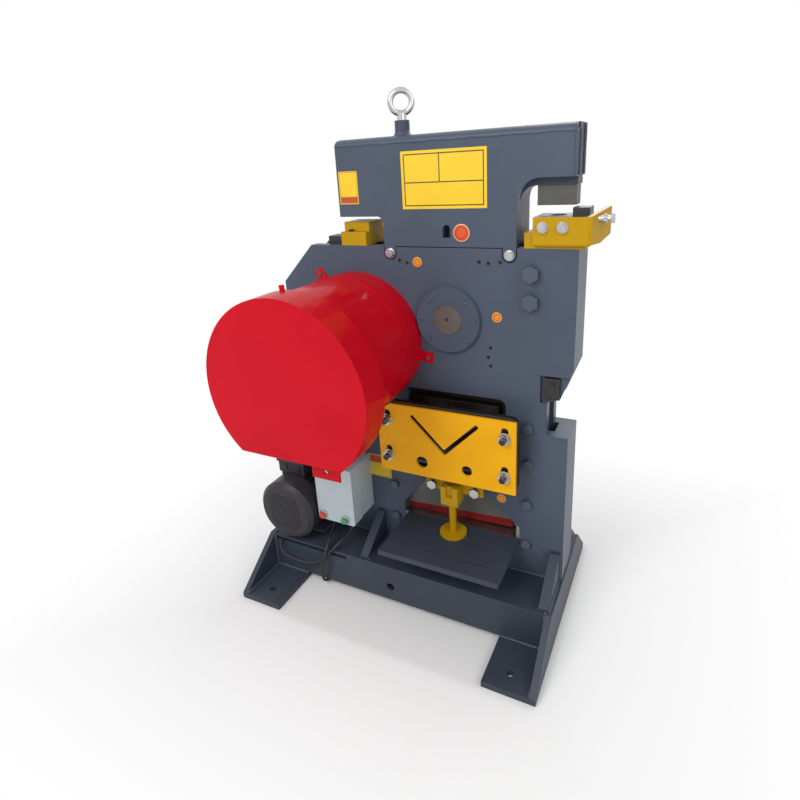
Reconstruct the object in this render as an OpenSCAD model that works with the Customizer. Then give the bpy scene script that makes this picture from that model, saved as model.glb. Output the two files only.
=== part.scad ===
// Mechanical ironworker: a two-plate frame on a welded base, a T-shaped ram that an eccentric shaft
// lifts, and stations for punching, notching, section shearing and plate shearing.
// Origin: centre of the four foundation bolt holes, on the floor. X right, Y to the rear, Z up.

/* [Base] */
// Width over the two feet
base_w = 1060; // [1050:5:1150]
// Depth of the feet, front to rear
base_d = 742; // [660:2:840]
// Width of one foot plate
foot_w = 160; // [130:5:200]
// Thickness of the foot plates
foot_t = 20; // [14:1:28]
// Front face of the beam, before the middle of the base
beam_front = 189; // [180:1:200]
// Rear face of the beam, behind the middle of the base
beam_rear = 232; // [224:1:245]
// Height of the beam's top face
beam_top = 155; // [130:1:180]
// Wall of the beam
beam_wall = 10; // [8:1:14]
// Thickness of the end ribs
rib_t = 20; // [12:1:30]
// Radius of the foundation bolt holes
foot_hole_r = 12; // [9:0.5:16]
// Bolt hole to the foot's outer edge
foot_inset_x = 90; // [60:1:110]
// Bolt hole to the foot's front edge
foot_inset_y = 60; // [40:1:80]
// Thickness of the gussets that brace the frame
gusset_t = 30; // [16:1:40]
// Height of the gussets
gusset_h = 108; // [80:1:120]

/* [Frame plates] */
// Front face of the frame, behind the middle of the base
body_front_y = -30; // [-50:1:-10]
// Thickness of each frame plate
plate_t = 36; // [28:1:44]
// Gap between the plates, in which the ram slides
ram_gap = 64; // [56:1:76]
// Left edge of the plates
body_left = -442; // [-470:1:-425]
// Right edge of the plates
body_right = 534; // [524:1:556]
// Height of the shoulders that carry the dies
shoulder_z = 1220; // [1212:1:1230]
// Size of the cut-off top left corner
corner_cut = 125; // [90:1:150]
// Left edge of the plates near the base
low_left = -290; // [-300:1:-270]
// Height of the shelf at the right-hand notch
shelf_z = 667; // [640:1:690]
// Depth of the right-hand notch
notch_d = 72; // [50:1:80]
// Height of the right-hand notch
notch_h = 103; // [80:1:110]

/* [Ram] */
// Ram stroke, twice the throw of the eccentric
stroke = 28; // [20:1:30]
// Middle line of the ram
ram_x = 161; // [155:1:167]
// Width of the ram's neck
neck_w = 410; // [400:1:420]
// Top of the ram's cheeks at the lower end of the stroke
ram_top = 1518; // [1490:1:1560]
// Reach of the left arm from the middle line
left_arm = 356; // [330:1:380]
// Reach of the right arm from the middle line
right_arm = 356; // [350:1:375]
// Underside of the left arm
left_arm_z = 1308; // [1300:1:1330]
// Underside of the right arm
right_arm_z = 1403; // [1398:1:1420]
// Radius of the punching throat
throat_r = 62; // [30:1:70]
// Width of one ear of the cheeks
ear_w = 38; // [30:1:44]
// Ear bolts below the shoulders
ear_drop = 20; // [16:1:24]
// Size of the punch holder's square section
punch_h = 52; // [40:1:54]
// Thickness of the lifting eye's ring
eye_bar_r = 9; // [6:0.5:11]

/* [Eccentric drive] */
// Height of the eccentric shaft
ecc_z = 1004; // [998:1:1010]
// Radius of the eccentric journal
journal_r = 72; // [68:1:78]
// Radius of the main journals
main_r = 54; // [48:1:56]
// Radius of the bearing cap
cap_r = 102; // [96:1:110]
// Tooth module of the gears
gear_module = 6; // [5.8:0.1:6.2]
// Teeth of the pinion
pinion_teeth = 18; // [17:1:20]
// Teeth of the bull gear
bull_teeth = 92; // [90:1:94]
// Face width of the gears
gear_w = 46; // [36:1:50]
// Direction from the eccentric shaft to the drive shaft
drive_angle = 195.6; // [193:0.1:198]
// Radius of the drive shaft
drive_r = 34; // [28:1:36]
// Radius of the flywheel
fly_r = 195; // [160:1:205]
// Pitch radius of the large belt pulley
pulley_r = 205; // [180:1:215]
// Number of belts
belts = 3; // [2:1:3]

/* [Motor] */
// Middle line of the motor
motor_x = -428; // [-432:1:-426]
// Height of the motor shaft over its feet
motor_h = 112; // [110:1:118]
// Radius of the motor's fan cover
motor_r = 114; // [104:1:114]
// Pitch radius of the motor pulley
motor_pulley_r = 48; // [40:1:54]
// Front face of the fan cover
fan_y = -207; // [-215:1:-200]

/* [Guards] */
// Radius of the guard's rear drum
drum_r = 223; // [214:1:232]
// Radius of the guard's front cap
cover_r = 262; // [252:1:270]
// How far the guard stands out of the frame
guard_l = 444; // [430:1:450]
// Length of the front cap
cover_l = 99; // [95:1:110]
// Sheet thickness of the guards
sheet_t = 3; // [2:0.5:4]

/* [Stations] */
// Height of the table and of the lower blade's edge
table_top = 281; // [277:1:285]
// Width of the table
table_w = 400; // [360:1:420]
// Reach of the table in front of the frame
table_reach = 230; // [190:1:250]
// How far the section plate reaches past the ram's neck on each side
sect_over = 23; // [15:1:30]
// Height of the section plate
sect_h = 240; // [226:1:250]
// Vertical adjustment of the section plate
sect_travel = 22; // [10:1:26]
// Radius of the hold-down's foot
foot_pad_r = 45; // [30:1:52]
// Lift of the hold-down
hold_lift = 60; // [40:1:62]
// Radius of the die's slug hole
slug_r = 22; // [10:1:26]

/* [Starter] */
// Width of the starter box
box_w = 147; // [140:1:150]
// Height of the starter box
box_h = 215; // [180:1:230]
// Depth of the starter box with its cover
box_d = 138; // [120:1:150]
// Travel of the push buttons
button_travel = 4; // [2:0.5:5]

/* [Hidden] */
$fn = 64;

// Colours of the finishes
frame_grey = [0.33, 0.36, 0.41];
guard_red = [0.78, 0.04, 0.13];
tool_yellow = [0.90, 0.65, 0.05];
zinc = [0.75, 0.76, 0.78];
bare_steel = [0.50, 0.50, 0.50];
dark_steel = [0.20, 0.20, 0.21];
bronze = [0.68, 0.50, 0.25];
motor_grey = [0.24, 0.23, 0.25];
box_grey = [0.60, 0.64, 0.67];
blade_red = [0.45, 0.06, 0.08];
start_green = [0.10, 0.50, 0.20];
cable_black = [0.06, 0.06, 0.06];

// Clearances: sliding faces, running fits, bolts in their holes; and one overrun for all cuts
slip = 0.4;
run = 0.05;
bolt_clear = 0.2;
overrun = 5;
bite = 0.5;

// Places that follow from the frame
inner_y = body_front_y + plate_t;
body_rear_y = inner_y + ram_gap + plate_t;
neck_l = ram_x - neck_w / 2;
neck_r = ram_x + neck_w / 2;
ram_y = inner_y + slip;
ram_t = ram_gap - 2 * slip;
mid_y = inner_y + ram_gap / 2;
notch_x = body_right - notch_d;
notch_low = shelf_z + notch_h;
notch_lip = [34, 11];
notch_rise = 100;
pocket_w = 93;
pocket_h = 86;
pocket_d = 14;
left_ledge_z = 730;
left_foot_z = 520;
low_inset = 8;
low_right = body_right - low_inset;

// Outline of the shear window and of the section window
shear_top = 430;
shear_top_in = [104, 101];
shear_low_in = [17, -20];
shear_top_x = [neck_l + shear_top_in[0], neck_r - shear_top_in[1]];
shear_low_x = [neck_l + shear_low_in[0], neck_r - shear_low_in[1]];
shear_side_z = 320;
blade_h = 30;
sect_shift = 8;
sect_x = ram_x + sect_shift;
sect_win_in = 35;
sect_win_w = neck_w - 2 * sect_win_in;
sect_win_z = [500, 762];
window_r = 24;

// Cheeks, slab and the joint between cheek and frame
joint_gap = 2.5;
cheek_t = plate_t + slip;
cheek_low = shoulder_z;
slab_rise = 15;
slab_arm_drop = 21;
slab_low = 300;
corner_r = 20;
ear_r = ear_w / 2;
ear_z = shoulder_z - ear_drop;
ear_xs = [neck_l + ear_r, neck_r - ear_r];
slot_w = 24;
slot_z = [1246, 1283];
cheek_bolt_r = 8;
cheek_head_r = 12;
cheek_head_h = 9;
washer_r = 15;
washer_t = 2.5;
boss_reach = 158;
boss_x = ram_x - boss_reach;
boss_r = 22;
boss_h = 42;
eye_r = 31;
eye_neck_r = 14;
eye_neck_h = 10;
eye_turn = 28;
punch_w = 102;
punch_d = 56;
punch_out = 97;
punch_x = neck_r + punch_out;
slab_throat_r = punch_out - punch_w / 2 - joint_gap;

// Eccentric shaft, bushes and cap
throw = stroke / 2;
bush_r = 76;
cap_t = 12;
cap_bolt_r = 84;
cap_angles = [0, 45, 135, 180, 225, 315];
screw_r = 6.5;
screw_h = 4;
socket_r = 3.5;
nose_r = 44;
nose_gap = 0.6;
block_w = 200;
block_h = 164;
rear_clear = 4;
gear_y = body_rear_y + rear_clear;
seat_r = 48;
shaft_tail = 1.5;
centre_r = 7;
centre_d = 9;

// Gears: involute teeth, shortened a little so that the pinion needs no undercut
pressure = 20;
backlash = 0.8;
addendum_share = 0.9;
dedendum_share = 1.2;
flank_steps = 3;
gear_dist = gear_module * (pinion_teeth + bull_teeth) / 2;
ecc_p = [ram_x, ecc_z];
drive_p = ecc_p + gear_dist * [cos(drive_angle), sin(drive_angle)];
bull_r = gear_module * bull_teeth / 2;
pinion_r = gear_module * pinion_teeth / 2;
rim_t = 32;
web_t = 20;
hub_r = 82;
hole_share = 0.36;
lighten_count = 6;

// Drive shaft, its bearings, flywheel and pulleys
sleeve_r = 72;
sleeve_flange_r = 112;
sleeve_flange_t = 18;
bearing_r = 56;
bearing_w = 40;
fly_w = 70;
fly_gap = 14;
fly_rim = 52;
fly_web = 22;
wheel_hub_r = 62;
belt_pitch = 20.5;
belt_w = 16;
belt_in_w = 11;
belt_h = 11;
belt_gap = 0.5;
groove_depth = 15;
pulley_lip = 4;
pulley_w = belts * belt_pitch + 2 * pulley_lip;
belt_set = 14;
belt_y = gear_y + gear_w + belt_set;

// Motor
motor_gap = 5;
motor_plate_t = 9;
motor_plate_w = 200;
motor_plate_d = 270;
motor_p = [motor_x, beam_top + motor_gap + motor_plate_t + motor_h];
fan_cover_l = 72;
fan_lap = 6;
barrel_share = 0.87;
fin_count = 36;
fin_t = 3;
shield_l = 28;
shaft_shoulder = 16;
motor_l = belt_y - shaft_shoulder - fan_y;
motor_end_y = fan_y + motor_l;
barrel_y = fan_y + fan_cover_l;
barrel_l = motor_end_y - shield_l - barrel_y;
stator_r = 60;
rotor_gap = 0.5;
rotor_inset = 12;
motor_shaft_r = 14;
perf_r = 2.6;
perf_pitch = 9;
perf_n = 7;
term_w = 112;
term_d = 110;
term_h = 52;
term_set = 10;
term_side = 16;
term_y = barrel_y + term_set;
term_x = motor_x - term_side;
term_z = motor_p[1] + motor_r - sheet_t;
plug_r = 11;
plug_h = 5;

// Guards
cover_offset = [15, -22];
cover_p = drive_p + cover_offset;
cover_chord = 200;
guard_front = body_front_y - guard_l;
cover_y = guard_front + cover_l;
tab_w = 34;
tab_r = 250;
tab_angles = [122.6, -9.5, 236];
cover_tab_angle = 97;
bead = 2;
bead_out = 107;
bead_y = body_front_y - bead_out;
guard_clear = 12;
lug_w = 92;
lug_h = 62;
lug_t = 6;
lug_x = 88;
lug_y = 40;

// Frame bolts: a column on each side, the two upper right ones are larger
bolt_out_r = 44;
bolt_out_l = 18;
bolt_col_r = neck_r + bolt_out_r;
bolt_col_l = neck_l - bolt_out_l;
small_bolt_r = 10;
large_bolt_r = 15;
large_bolt_zs = [1072, 1151];
right_bolt_zs = [269, 417, 559, 682];
left_bolt_zs = [255, 383];
inner_bolt_zs = [760, 1080];
guide_w = 68;
shaft_clear = 10;
left_guide_w = min(guide_w, neck_l - slip - drive_p[0] - drive_r - shaft_clear);
guides = [[neck_l - slip - left_guide_w, left_guide_w], [neck_r + slip, guide_w]];
guide_low = 200;
head_share = 1.6;
head_h_share = 0.65;

// Table, hold-down and section station
table_t = 18;
table_shift = 25;
table_x = ram_x + table_shift;
slit_w = 6;
slit_y = 56;
slit_inset = 46;
support_t = 16;
support_inset = 70;
support_d = 80;
blade_tilt = 14;
blade_drop = 6;
blade_top = 352;
blade_t = 26;
bed_drop = 24;
sect_w = neck_w + 2 * sect_over;
sect_t = 8;
sect_out = 82;
sect_y = body_front_y - sect_out;
sect_z = 497;
sect_gap = 0.4;
slot_play = 1;
back_t = 18;
back_rise = 8;
back_frame = 74;
stud_r = 10;
stud_in = 34;
stud_dx = sect_w / 2 - stud_in;
stud_zs = [555, 682];
stud_sink = 22;
stud_out = 24;
spacer_r = 16;
nut_h = 14;
nut_r = 17;
sect_washer_r = 19;
vee_rim = 40;
vee_half = sect_win_w / 2 - window_r - vee_rim;
vee_w = 14;
vee_z = 596;
bar_hole_r = [20, 17];
bar_hole_x = [-78, 74];
bar_hole_z = 548;
hold_shift = 9;
hold_out = 55;
hold_x = sect_x + hold_shift;
hold_y = body_front_y - hold_out;
hold_w = 58;
hold_d = 56;
hold_h = 66;
hold_z = 402;
hold_slot_w = 22;
hold_slot_h = 36;
hold_slot_d = 8;
lug_bar_w = 196;
lug_bar_h = 34;
lug_bar_t = 12;
lug_bar_z = 429;
lug_bolt_dx = 74;
lug_bolt_r = 8;
stem_r = 12;
stem_clear = 3.6;
stem_h = sect_z + back_rise - stem_clear - hold_lift - table_top - slip;
pad_t = 9;

// Punching die, notching die and the adjusting bolt
die_w = 162;
die_h = 42;
die_gap = 22;
die_x = neck_r + die_gap;
die_top_h = 40;
die_block_w = 140;
die_block_d = 120;
stop_w = 44;
stop_d = 60;
stop_h = 21;
bracket_t = 12;
bracket_w = 150;
bracket_h = 71;
bracket_up = 12;
bracket_in = 25;
bracket_z = shoulder_z + bracket_up;
bracket_x = die_x + bracket_in;
end_run = 34;
end_depth = 102;
end_rise = 20;
die_bolt_xs = [26, 78];
die_bolt_z = 57;
adjust_r = 8;
adjust_z = 76;
adjust_y = 40;
adjust_out = 15;
adjust_l = 54;
notch_w = 90;
notch_reach = 154;
notch_x0 = neck_l - notch_reach;
notch_h1 = 42;
notch_h2 = 28;
notch_set = 25;
notch_d2 = 90;
bar_w = 68;
bar_h = 25;
bar_set = 30;
bar_d = 60;

// Starter box, buttons and glands
box_out = 15;
box_x = low_left - box_out;
box_z = 268;
box_wall = 2.5;
cover_d = 48;
cover_lip = 2;
box_r = 9;
button_r = 11;
button_h = 9;
bezel_r = 15;
bezel_h = 5;
button_z = 18;
stop_x = 20;
start_x = 111;
contactor_w = 70;
contactor_h = 90;
contactor_d = 60;
lead_r = 4.5;
gland_r = 11;
gland_h = 20;
gland_out = 62;
gland_taper = 2;
gland_lip = 1.5;
gland_y = body_front_y - gland_out;
supply_in = 20;
motor_lead_in = 95;
supply_x = box_x + supply_in;
motor_lead_x = box_x + motor_lead_in;

// Flat parts: an outline in X and Z becomes a plate from y to y + t
module plate(y, t) {
    translate([0, y + t, 0]) rotate([90, 0, 0]) linear_extrude(t) children();
}

// An outline in Y and Z becomes a plate from x to x + t
module rib(x, t) {
    translate([x, 0, 0]) rotate([90, 0, 90]) linear_extrude(t) children();
}

// A round bar along Y at the place p in X and Z
module rod(p, y, r, l) {
    translate([p[0], y, p[1]]) rotate([-90, 0, 0]) cylinder(r = r, h = l);
}

module disc_at(p, r) {
    translate(p) circle(r);
}

// A hexagon head or nut along Y, with its face at y
module hex(p, y, r, h) {
    translate([p[0], y, p[1]]) rotate([-90, 30, 0]) cylinder(r = r, h = h, $fn = 6);
}

// A box from corner a to corner b
module block(a, b) {
    translate(a) cube(b - a);
}

// A rectangle with round corners, from corner a to corner b
module round_rect(a, b, r) {
    translate([a[0] + r, a[1]]) square([b[0] - a[0] - 2 * r, b[1] - a[1]]);
    translate([a[0], a[1] + r]) square([b[0] - a[0], b[1] - a[1] - 2 * r]);
    for (x = [a[0] + r, b[0] - r], z = [a[1] + r, b[1] - r]) disc_at([x, z], r);
}

// A slot of width 2 r between the places a and b
module slot2(a, b, r) {
    d = b - a;
    translate(a) rotate(atan2(d[1], d[0])) {
        translate([0, -r]) square([norm(d), 2 * r]);
        circle(r);
        translate([norm(d), 0]) circle(r);
    }
}

// Outline that a belt makes round two circles; its straight runs bite into the circles by a little
function wrap_angle(a, ra, b, rb) = acos((ra - rb) / norm(b - a));
function heading(a, b) = atan2(b[1] - a[1], b[0] - a[0]);
function ray_to(p, r, t) = p + r * [cos(t), sin(t)];
module wrap(a, ra, b, rb) {
    h = heading(a, b);
    w = wrap_angle(a, ra, b, rb);
    disc_at(a, ra);
    disc_at(b, rb);
    polygon([ray_to(a, ra - bite, h + w), ray_to(a, ra - bite, h - w), ray_to(b, rb - bite, h - w),
        ray_to(b, rb - bite, h + w)]);
}

// Involute gear outline: each flank is a short row of points on the involute of the base circle
function roll(rb, r) = r > rb ? sqrt(r * r - rb * rb) / rb * 180 / PI - acos(rb / r) : 0;
function tooth(n, i, rs, rb, half) = concat(
    [for (r = rs) ray_to([0, 0], r, 360 * i / n - half + roll(rb, r))],
    [for (k = [len(rs) - 1:-1:0]) ray_to([0, 0], rs[k], 360 * i / n + half - roll(rb, rs[k]))]);
module gear_outline(n) {
    r = gear_module * n / 2;
    rb = r * cos(pressure);
    root = r - dedendum_share * gear_module;
    tip = r + addendum_share * gear_module;
    first = max(root, rb);
    rs = concat([root], [for (k = [0:flank_steps]) first + (tip - first) * k / flank_steps]);
    flank = root < rb ? rs : [for (k = [1:len(rs) - 1]) rs[k]];
    half = 90 / n + roll(rb, r) - backlash / 2 / r * 180 / PI / 2;
    polygon([for (i = [0:n - 1]) each tooth(n, i, flank, rb, half)]);
}

module base_frame() {
    color(frame_grey) difference() {
        union() {
            for (s = [-1, 1]) {
                x0 = min(s * base_w / 2, s * (base_w / 2 - foot_w));
                block([x0, -base_d / 2, 0], [x0 + foot_w, base_d / 2, foot_t]);
                rib(s * (base_w - rib_t) / 2 - rib_t / 2, rib_t) polygon([[-base_d / 2, foot_t],
                    [base_d / 2, foot_t], [beam_rear, beam_top], [-beam_front, beam_top]]);
            }
            for (y = [-beam_front, beam_rear - beam_wall])
                block([-base_w / 2 + rib_t, y, foot_t], [base_w / 2 - rib_t, y + beam_wall, beam_top]);
            block([-base_w / 2 + rib_t, -beam_front, beam_top - beam_wall],
                [base_w / 2 - rib_t, beam_rear, beam_top]);
        }
        for (sx = [-1, 1], sy = [-1, 1])
            translate([sx * (base_w / 2 - foot_inset_x), sy * (base_d / 2 - foot_inset_y), -overrun])
                cylinder(r = foot_hole_r, h = foot_t + 2 * overrun);
        rod(drain_p, -beam_front - overrun, drain_r, beam_wall + 2 * overrun);
        block([lead_slot_x[0], -beam_front - overrun, beam_top - beam_wall - lead_slot_h],
            [lead_slot_x[1], -beam_front + beam_wall + overrun, beam_top - beam_wall]);
        translate([lead_hole_p[0], lead_hole_p[1], beam_top - beam_wall - overrun])
            cylinder(r = lead_hole_r, h = beam_wall + 2 * overrun);
    }
}
drain_r = 15;
drain_p = [-20, 73];
lead_slot_x = [-506, -194];
lead_slot_h = 13;
lead_hole_p = [-302, 18];
lead_hole_r = 9;

// Sloping braces from the beam to the frame plates, front and rear
gusset_xs = [-120, 503];
gusset_toe = 12;
gusset_head = 14;
gusset_set = 8;
module gusset(x, face_y, edge_y) {
    s = sign(face_y - edge_y);
    rib(x - gusset_t / 2, gusset_t) polygon([[face_y, beam_top], [edge_y, beam_top],
        [edge_y, beam_top + gusset_toe], [face_y - s * gusset_head, beam_top + gusset_h],
        [face_y, beam_top + gusset_h]]);
}
module gussets() {
    color(frame_grey) for (x = gusset_xs) {
        gusset(x, body_front_y, gusset_set - beam_front);
        gusset(x, body_rear_y, beam_rear - gusset_set);
    }
}

// Neck and ears of the cheeks, grown by g: the joint line between ram and frame
module neck_zone(g, top) {
    translate([neck_l - g, cheek_low - g]) square([neck_w + 2 * g, top - cheek_low + g]);
    for (x = ear_xs) {
        disc_at([x, ear_z], ear_r + g);
        translate([x - ear_r - g, ear_z]) square([ear_w + 2 * g, top - ear_z]);
    }
}

module frame_outline() {
    difference() {
        polygon([[low_left, beam_top], [low_right, beam_top], [low_right, shelf_z], [notch_x, shelf_z],
            [notch_x, notch_low], [notch_x + notch_lip[0], notch_low + notch_lip[1]],
            [body_right, notch_low + notch_lip[1] + notch_rise], [body_right, shoulder_z],
            [body_left + corner_cut, shoulder_z], [body_left, shoulder_z - corner_cut],
            [body_left, left_ledge_z], [low_left, left_foot_z]]);
        neck_zone(joint_gap, shoulder_z + overrun);
        round_rect([sect_x - sect_win_w / 2, sect_win_z[0]], [sect_x + sect_win_w / 2, sect_win_z[1]],
            window_r);
        polygon([[shear_low_x[0], table_top - blade_h], [shear_low_x[1], table_top - blade_h],
            [shear_low_x[1], shear_side_z], [shear_top_x[1], shear_top], [shear_top_x[0], shear_top],
            [shear_low_x[0], shear_side_z]]);
        disc_at(ecc_p, bush_r);
        disc_at(drive_p, bearing_r);
        bolt_places() circle($r + bolt_clear);
    }
}

// Every frame bolt: its place, with its shank radius in $r
module bolt_places() {
    for (z = right_bolt_zs) translate([bolt_col_r, z]) {
        $r = small_bolt_r;
        children();
    }
    for (z = large_bolt_zs) translate([bolt_col_r, z]) {
        $r = large_bolt_r;
        children();
    }
    for (z = concat(left_bolt_zs, inner_bolt_zs)) translate([bolt_col_l, z]) {
        $r = small_bolt_r;
        children();
    }
}

module front_plate() {
    color(frame_grey) difference() {
        plate(body_front_y, plate_t) frame_outline();
        block([body_right - pocket_w, body_front_y - overrun, notch_low],
            [body_right + overrun, body_front_y + pocket_d, notch_low + pocket_h]);
        for (s = [-1, 1], z = stud_zs)
            rod([sect_x + s * stud_dx, z], body_front_y - overrun, stud_r + bolt_clear,
                stud_sink + overrun);
        for (s = [-1, 1])
            rod([hold_x + s * lug_bolt_dx, lug_bar_z + lug_bar_h / 2], body_front_y - overrun,
                lug_bolt_r + bolt_clear, stud_sink + overrun);
    }
}

module rear_plate() {
    color(frame_grey) plate(inner_y + ram_gap, plate_t) frame_outline();
}

// Guides beside the ram, clamped between the plates by the frame bolts
module guide_blocks() {
    color(bare_steel) plate(inner_y, ram_gap) difference() {
        for (g = guides)
            translate([g[0], guide_low]) square([g[1], ear_z - ear_r - joint_gap - guide_low]);
        bolt_places() circle($r + bolt_clear);
    }
}

// Distance pieces: left end, right end, and below them the bed with its two side walls
spacer_w = 46;
spacer_inset = 12;
module frame_spacers() {
    color(frame_grey) plate(inner_y, ram_gap) {
        translate([body_left + spacer_inset, left_ledge_z + spacer_inset])
            square([spacer_w, shoulder_z - corner_cut - left_ledge_z - 2 * spacer_inset]);
        translate([body_right - spacer_w, notch_low + notch_lip[1] + notch_rise])
            square([spacer_w, shoulder_z - notch_low - notch_lip[1] - notch_rise]);
        difference() {
            union() {
                translate([low_left + spacer_inset, beam_top])
                    square([low_right - low_left - spacer_inset, table_top - blade_h - bed_drop - beam_top]);
                translate([low_left + spacer_inset, beam_top]) square([spacer_w, left_foot_z - beam_top]);
                translate([low_right - spacer_w, beam_top]) square([spacer_w, shelf_z - beam_top]);
            }
            for (g = guides)
                translate([g[0] - slip, guide_low - slip]) square([g[1] + 2 * slip, table_top]);
        }
    }
}

module frame_bolts() {
    color(frame_grey) {
        plate_bolt(right_bolt_zs, bolt_col_r, small_bolt_r, true);
        plate_bolt(left_bolt_zs, bolt_col_l, small_bolt_r, true);
        plate_bolt(large_bolt_zs, bolt_col_r, large_bolt_r, false);
        plate_bolt(inner_bolt_zs, bolt_col_l, small_bolt_r, false);
    }
}
// Bolts behind the gear end flush in the rear plate, the others have a nut there
module plate_bolt(zs, x, r, nut) {
    h = 2 * r * head_h_share;
    for (z = zs) union() {
        hex([x, z], body_front_y - h, r * head_share, h);
        rod([x, z], body_front_y - h / 2, r, body_rear_y - body_front_y + h / 2);
        if (nut) hex([x, z], body_rear_y, r * head_share, h);
    }
}

module shear_table() {
    x0 = table_x - table_w / 2;
    y0 = body_front_y - table_reach;
    color(frame_grey) {
        difference() {
            block([x0, y0, table_top - table_t], [x0 + table_w, body_front_y, table_top]);
            block([x0 + slit_inset, y0 + slit_y, table_top - table_t - overrun],
                [x0 + table_w - slit_inset, y0 + slit_y + slit_w, table_top + overrun]);
        }
        for (x = [x0 + support_inset, x0 + table_w - support_inset - support_t])
            block([x, body_front_y - support_d, beam_top],
                [x + support_t, body_front_y, table_top - table_t]);
    }
}

module lower_blade() {
    color(bare_steel) block([shear_low_x[0], body_front_y, table_top - blade_h],
        [shear_low_x[1], inner_y, table_top]);
}

// A rectangle whose far upper corner is rounded, to cut the space under an arm
module under_arm(w, h, r) {
    square([w, h - r]);
    square([w - r, h]);
    disc_at([w - r, h - r], r);
}

// T outline from the height low up to top, with its two arms
module tee(low, top, left_z, right_z, right_r) {
    difference() {
        translate([ram_x - left_arm, low]) square([left_arm + right_arm, top - low]);
        translate([ram_x - left_arm - overrun, low - overrun])
            under_arm(left_arm - neck_w / 2 + overrun, left_z - low + overrun, corner_r);
        translate([ram_x + right_arm + overrun, low - overrun]) mirror([1, 0])
            under_arm(right_arm - neck_w / 2 + overrun, right_z - low + overrun, right_r);
    }
}

module cheek_outline(top) {
    difference() {
        union() {
            tee(cheek_low, top, left_arm_z, right_arm_z, throat_r);
            neck_zone(0, left_arm_z);
        }
        translate([ram_x - slot_w / 2, slot_z[0]]) square([slot_w, slot_z[1] - slot_z[0] - slot_w / 2]);
        disc_at([ram_x, slot_z[1] - slot_w / 2], slot_w / 2);
        for (x = ear_xs) disc_at([x, ear_z], cheek_bolt_r + bolt_clear);
    }
}

module ram_front_cheek() {
    color(frame_grey) plate(body_front_y, cheek_t) cheek_outline(ram_top);
}

module ram_rear_cheek() {
    color(frame_grey) plate(body_rear_y - cheek_t, cheek_t) cheek_outline(ram_top + slab_rise);
}

// V and the two bar holes of the section station, grown by g
module section_openings(g) {
    for (s = [-1, 1])
        slot2([sect_x, vee_z], [sect_x + s * vee_half, vee_z + vee_half], vee_w / 2 + g);
    for (i = [0, 1]) disc_at([sect_x + bar_hole_x[i], bar_hole_z], bar_hole_r[i] + g);
}

// Slab between the frame plates: window for the slide block, blades' openings and a rebate below
section_play = 4;
module ram_slab() {
    win_w = block_w + stroke + 2 * slip;
    win_h = block_h + 2 * stroke + 2 * slip;
    color(frame_grey) union() {
        difference() {
            plate(ram_y, ram_t) difference() {
                union() {
                    tee(cheek_low, ram_top + slab_rise, left_arm_z, right_arm_z - slab_arm_drop,
                        slab_throat_r);
                    translate([neck_l, slab_low]) square([neck_w, left_arm_z - slab_low]);
                }
                translate([ram_x - win_w / 2, ecc_z - throw - win_h / 2]) square([win_w, win_h]);
                section_openings(section_play);
                for (x = ear_xs) disc_at([x, ear_z], cheek_bolt_r + bolt_clear);
            }
            block([neck_l - overrun, ram_y - overrun, slab_low - overrun],
                [neck_r + overrun, ram_y + blade_t, blade_top]);
        }
        translate([boss_x, mid_y, ram_top + slab_rise]) cylinder(r = boss_r, h = boss_h);
    }
}

module cheek_bolts() {
    color(zinc) for (x = ear_xs) union() {
        rod([x, ear_z], body_front_y - washer_t, cheek_bolt_r, body_rear_y - body_front_y + washer_t);
        rod([x, ear_z], body_front_y - washer_t, washer_r, washer_t);
        rod([x, ear_z], body_front_y - washer_t - cheek_head_h, cheek_head_r, cheek_head_h);
    }
}

module lifting_eye() {
    z0 = ram_top + slab_rise + boss_h;
    color(zinc) union() {
        translate([boss_x, mid_y, z0]) cylinder(r = eye_neck_r, h = eye_neck_h + eye_bar_r);
        translate([boss_x, mid_y, z0 + eye_neck_h + eye_r + eye_bar_r]) rotate([90, 0, eye_turn])
            rotate_extrude() translate([eye_r, 0]) circle(eye_bar_r);
    }
}

module punch_holder() {
    top = right_arm_z - slab_arm_drop;
    color(dark_steel) block([punch_x - punch_w / 2, mid_y - punch_d / 2, top - punch_h],
        [punch_x + punch_w / 2, mid_y + punch_d / 2, top]);
}

// Upper shear blade in the slab's rebate, its edge slightly inclined
blade_inset = 12;
module upper_blade() {
    color(blade_red) plate(ram_y, blade_t) polygon([[neck_l + blade_inset, table_top - blade_drop],
        [neck_r - blade_inset, table_top - blade_drop + blade_tilt], [neck_r - blade_inset, blade_top],
        [neck_l + blade_inset, blade_top]]);
}

// Eccentric shaft at the lower end of the stroke: the journal hangs below the shaft's axis
module eccentric_shaft() {
    tail_y = gear_y + gear_w + shaft_tail;
    color(bare_steel) difference() {
        union() {
            rod(ecc_p, body_front_y - cap_t, nose_r, cap_t + plate_t);
            rod(ecc_p, body_front_y + nose_gap, main_r, body_rear_y - body_front_y - nose_gap);
            rod(ecc_p - [0, throw], inner_y + slip, journal_r, ram_t);
            rod(ecc_p, body_rear_y, seat_r, tail_y - body_rear_y);
        }
        rod(ecc_p, body_front_y - cap_t - overrun, centre_r, centre_d + overrun);
    }
}

module slide_block() {
    p = ecc_p - [0, throw];
    color(bronze) plate(inner_y + slip, ram_t) difference() {
        translate(p - [block_w, block_h] / 2) square([block_w, block_h]);
        disc_at(p, journal_r + run);
    }
}

// A plain bearing ring of length l round a shaft of radius r
module bush(p, y, r, outer, l) {
    plate(y, l) difference() {
        disc_at(p, outer);
        disc_at(p, r + run);
    }
}
module shaft_bushes() {
    color(bronze) {
        for (y = [body_front_y, inner_y + ram_gap]) {
            bush(ecc_p, y, main_r, bush_r, plate_t);
            bush(drive_p, y, drive_r, bearing_r, plate_t);
        }
        bush(drive_p, cover_y + sheet_t + fly_gap, drive_r, bearing_r, bearing_w);
    }
}

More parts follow.
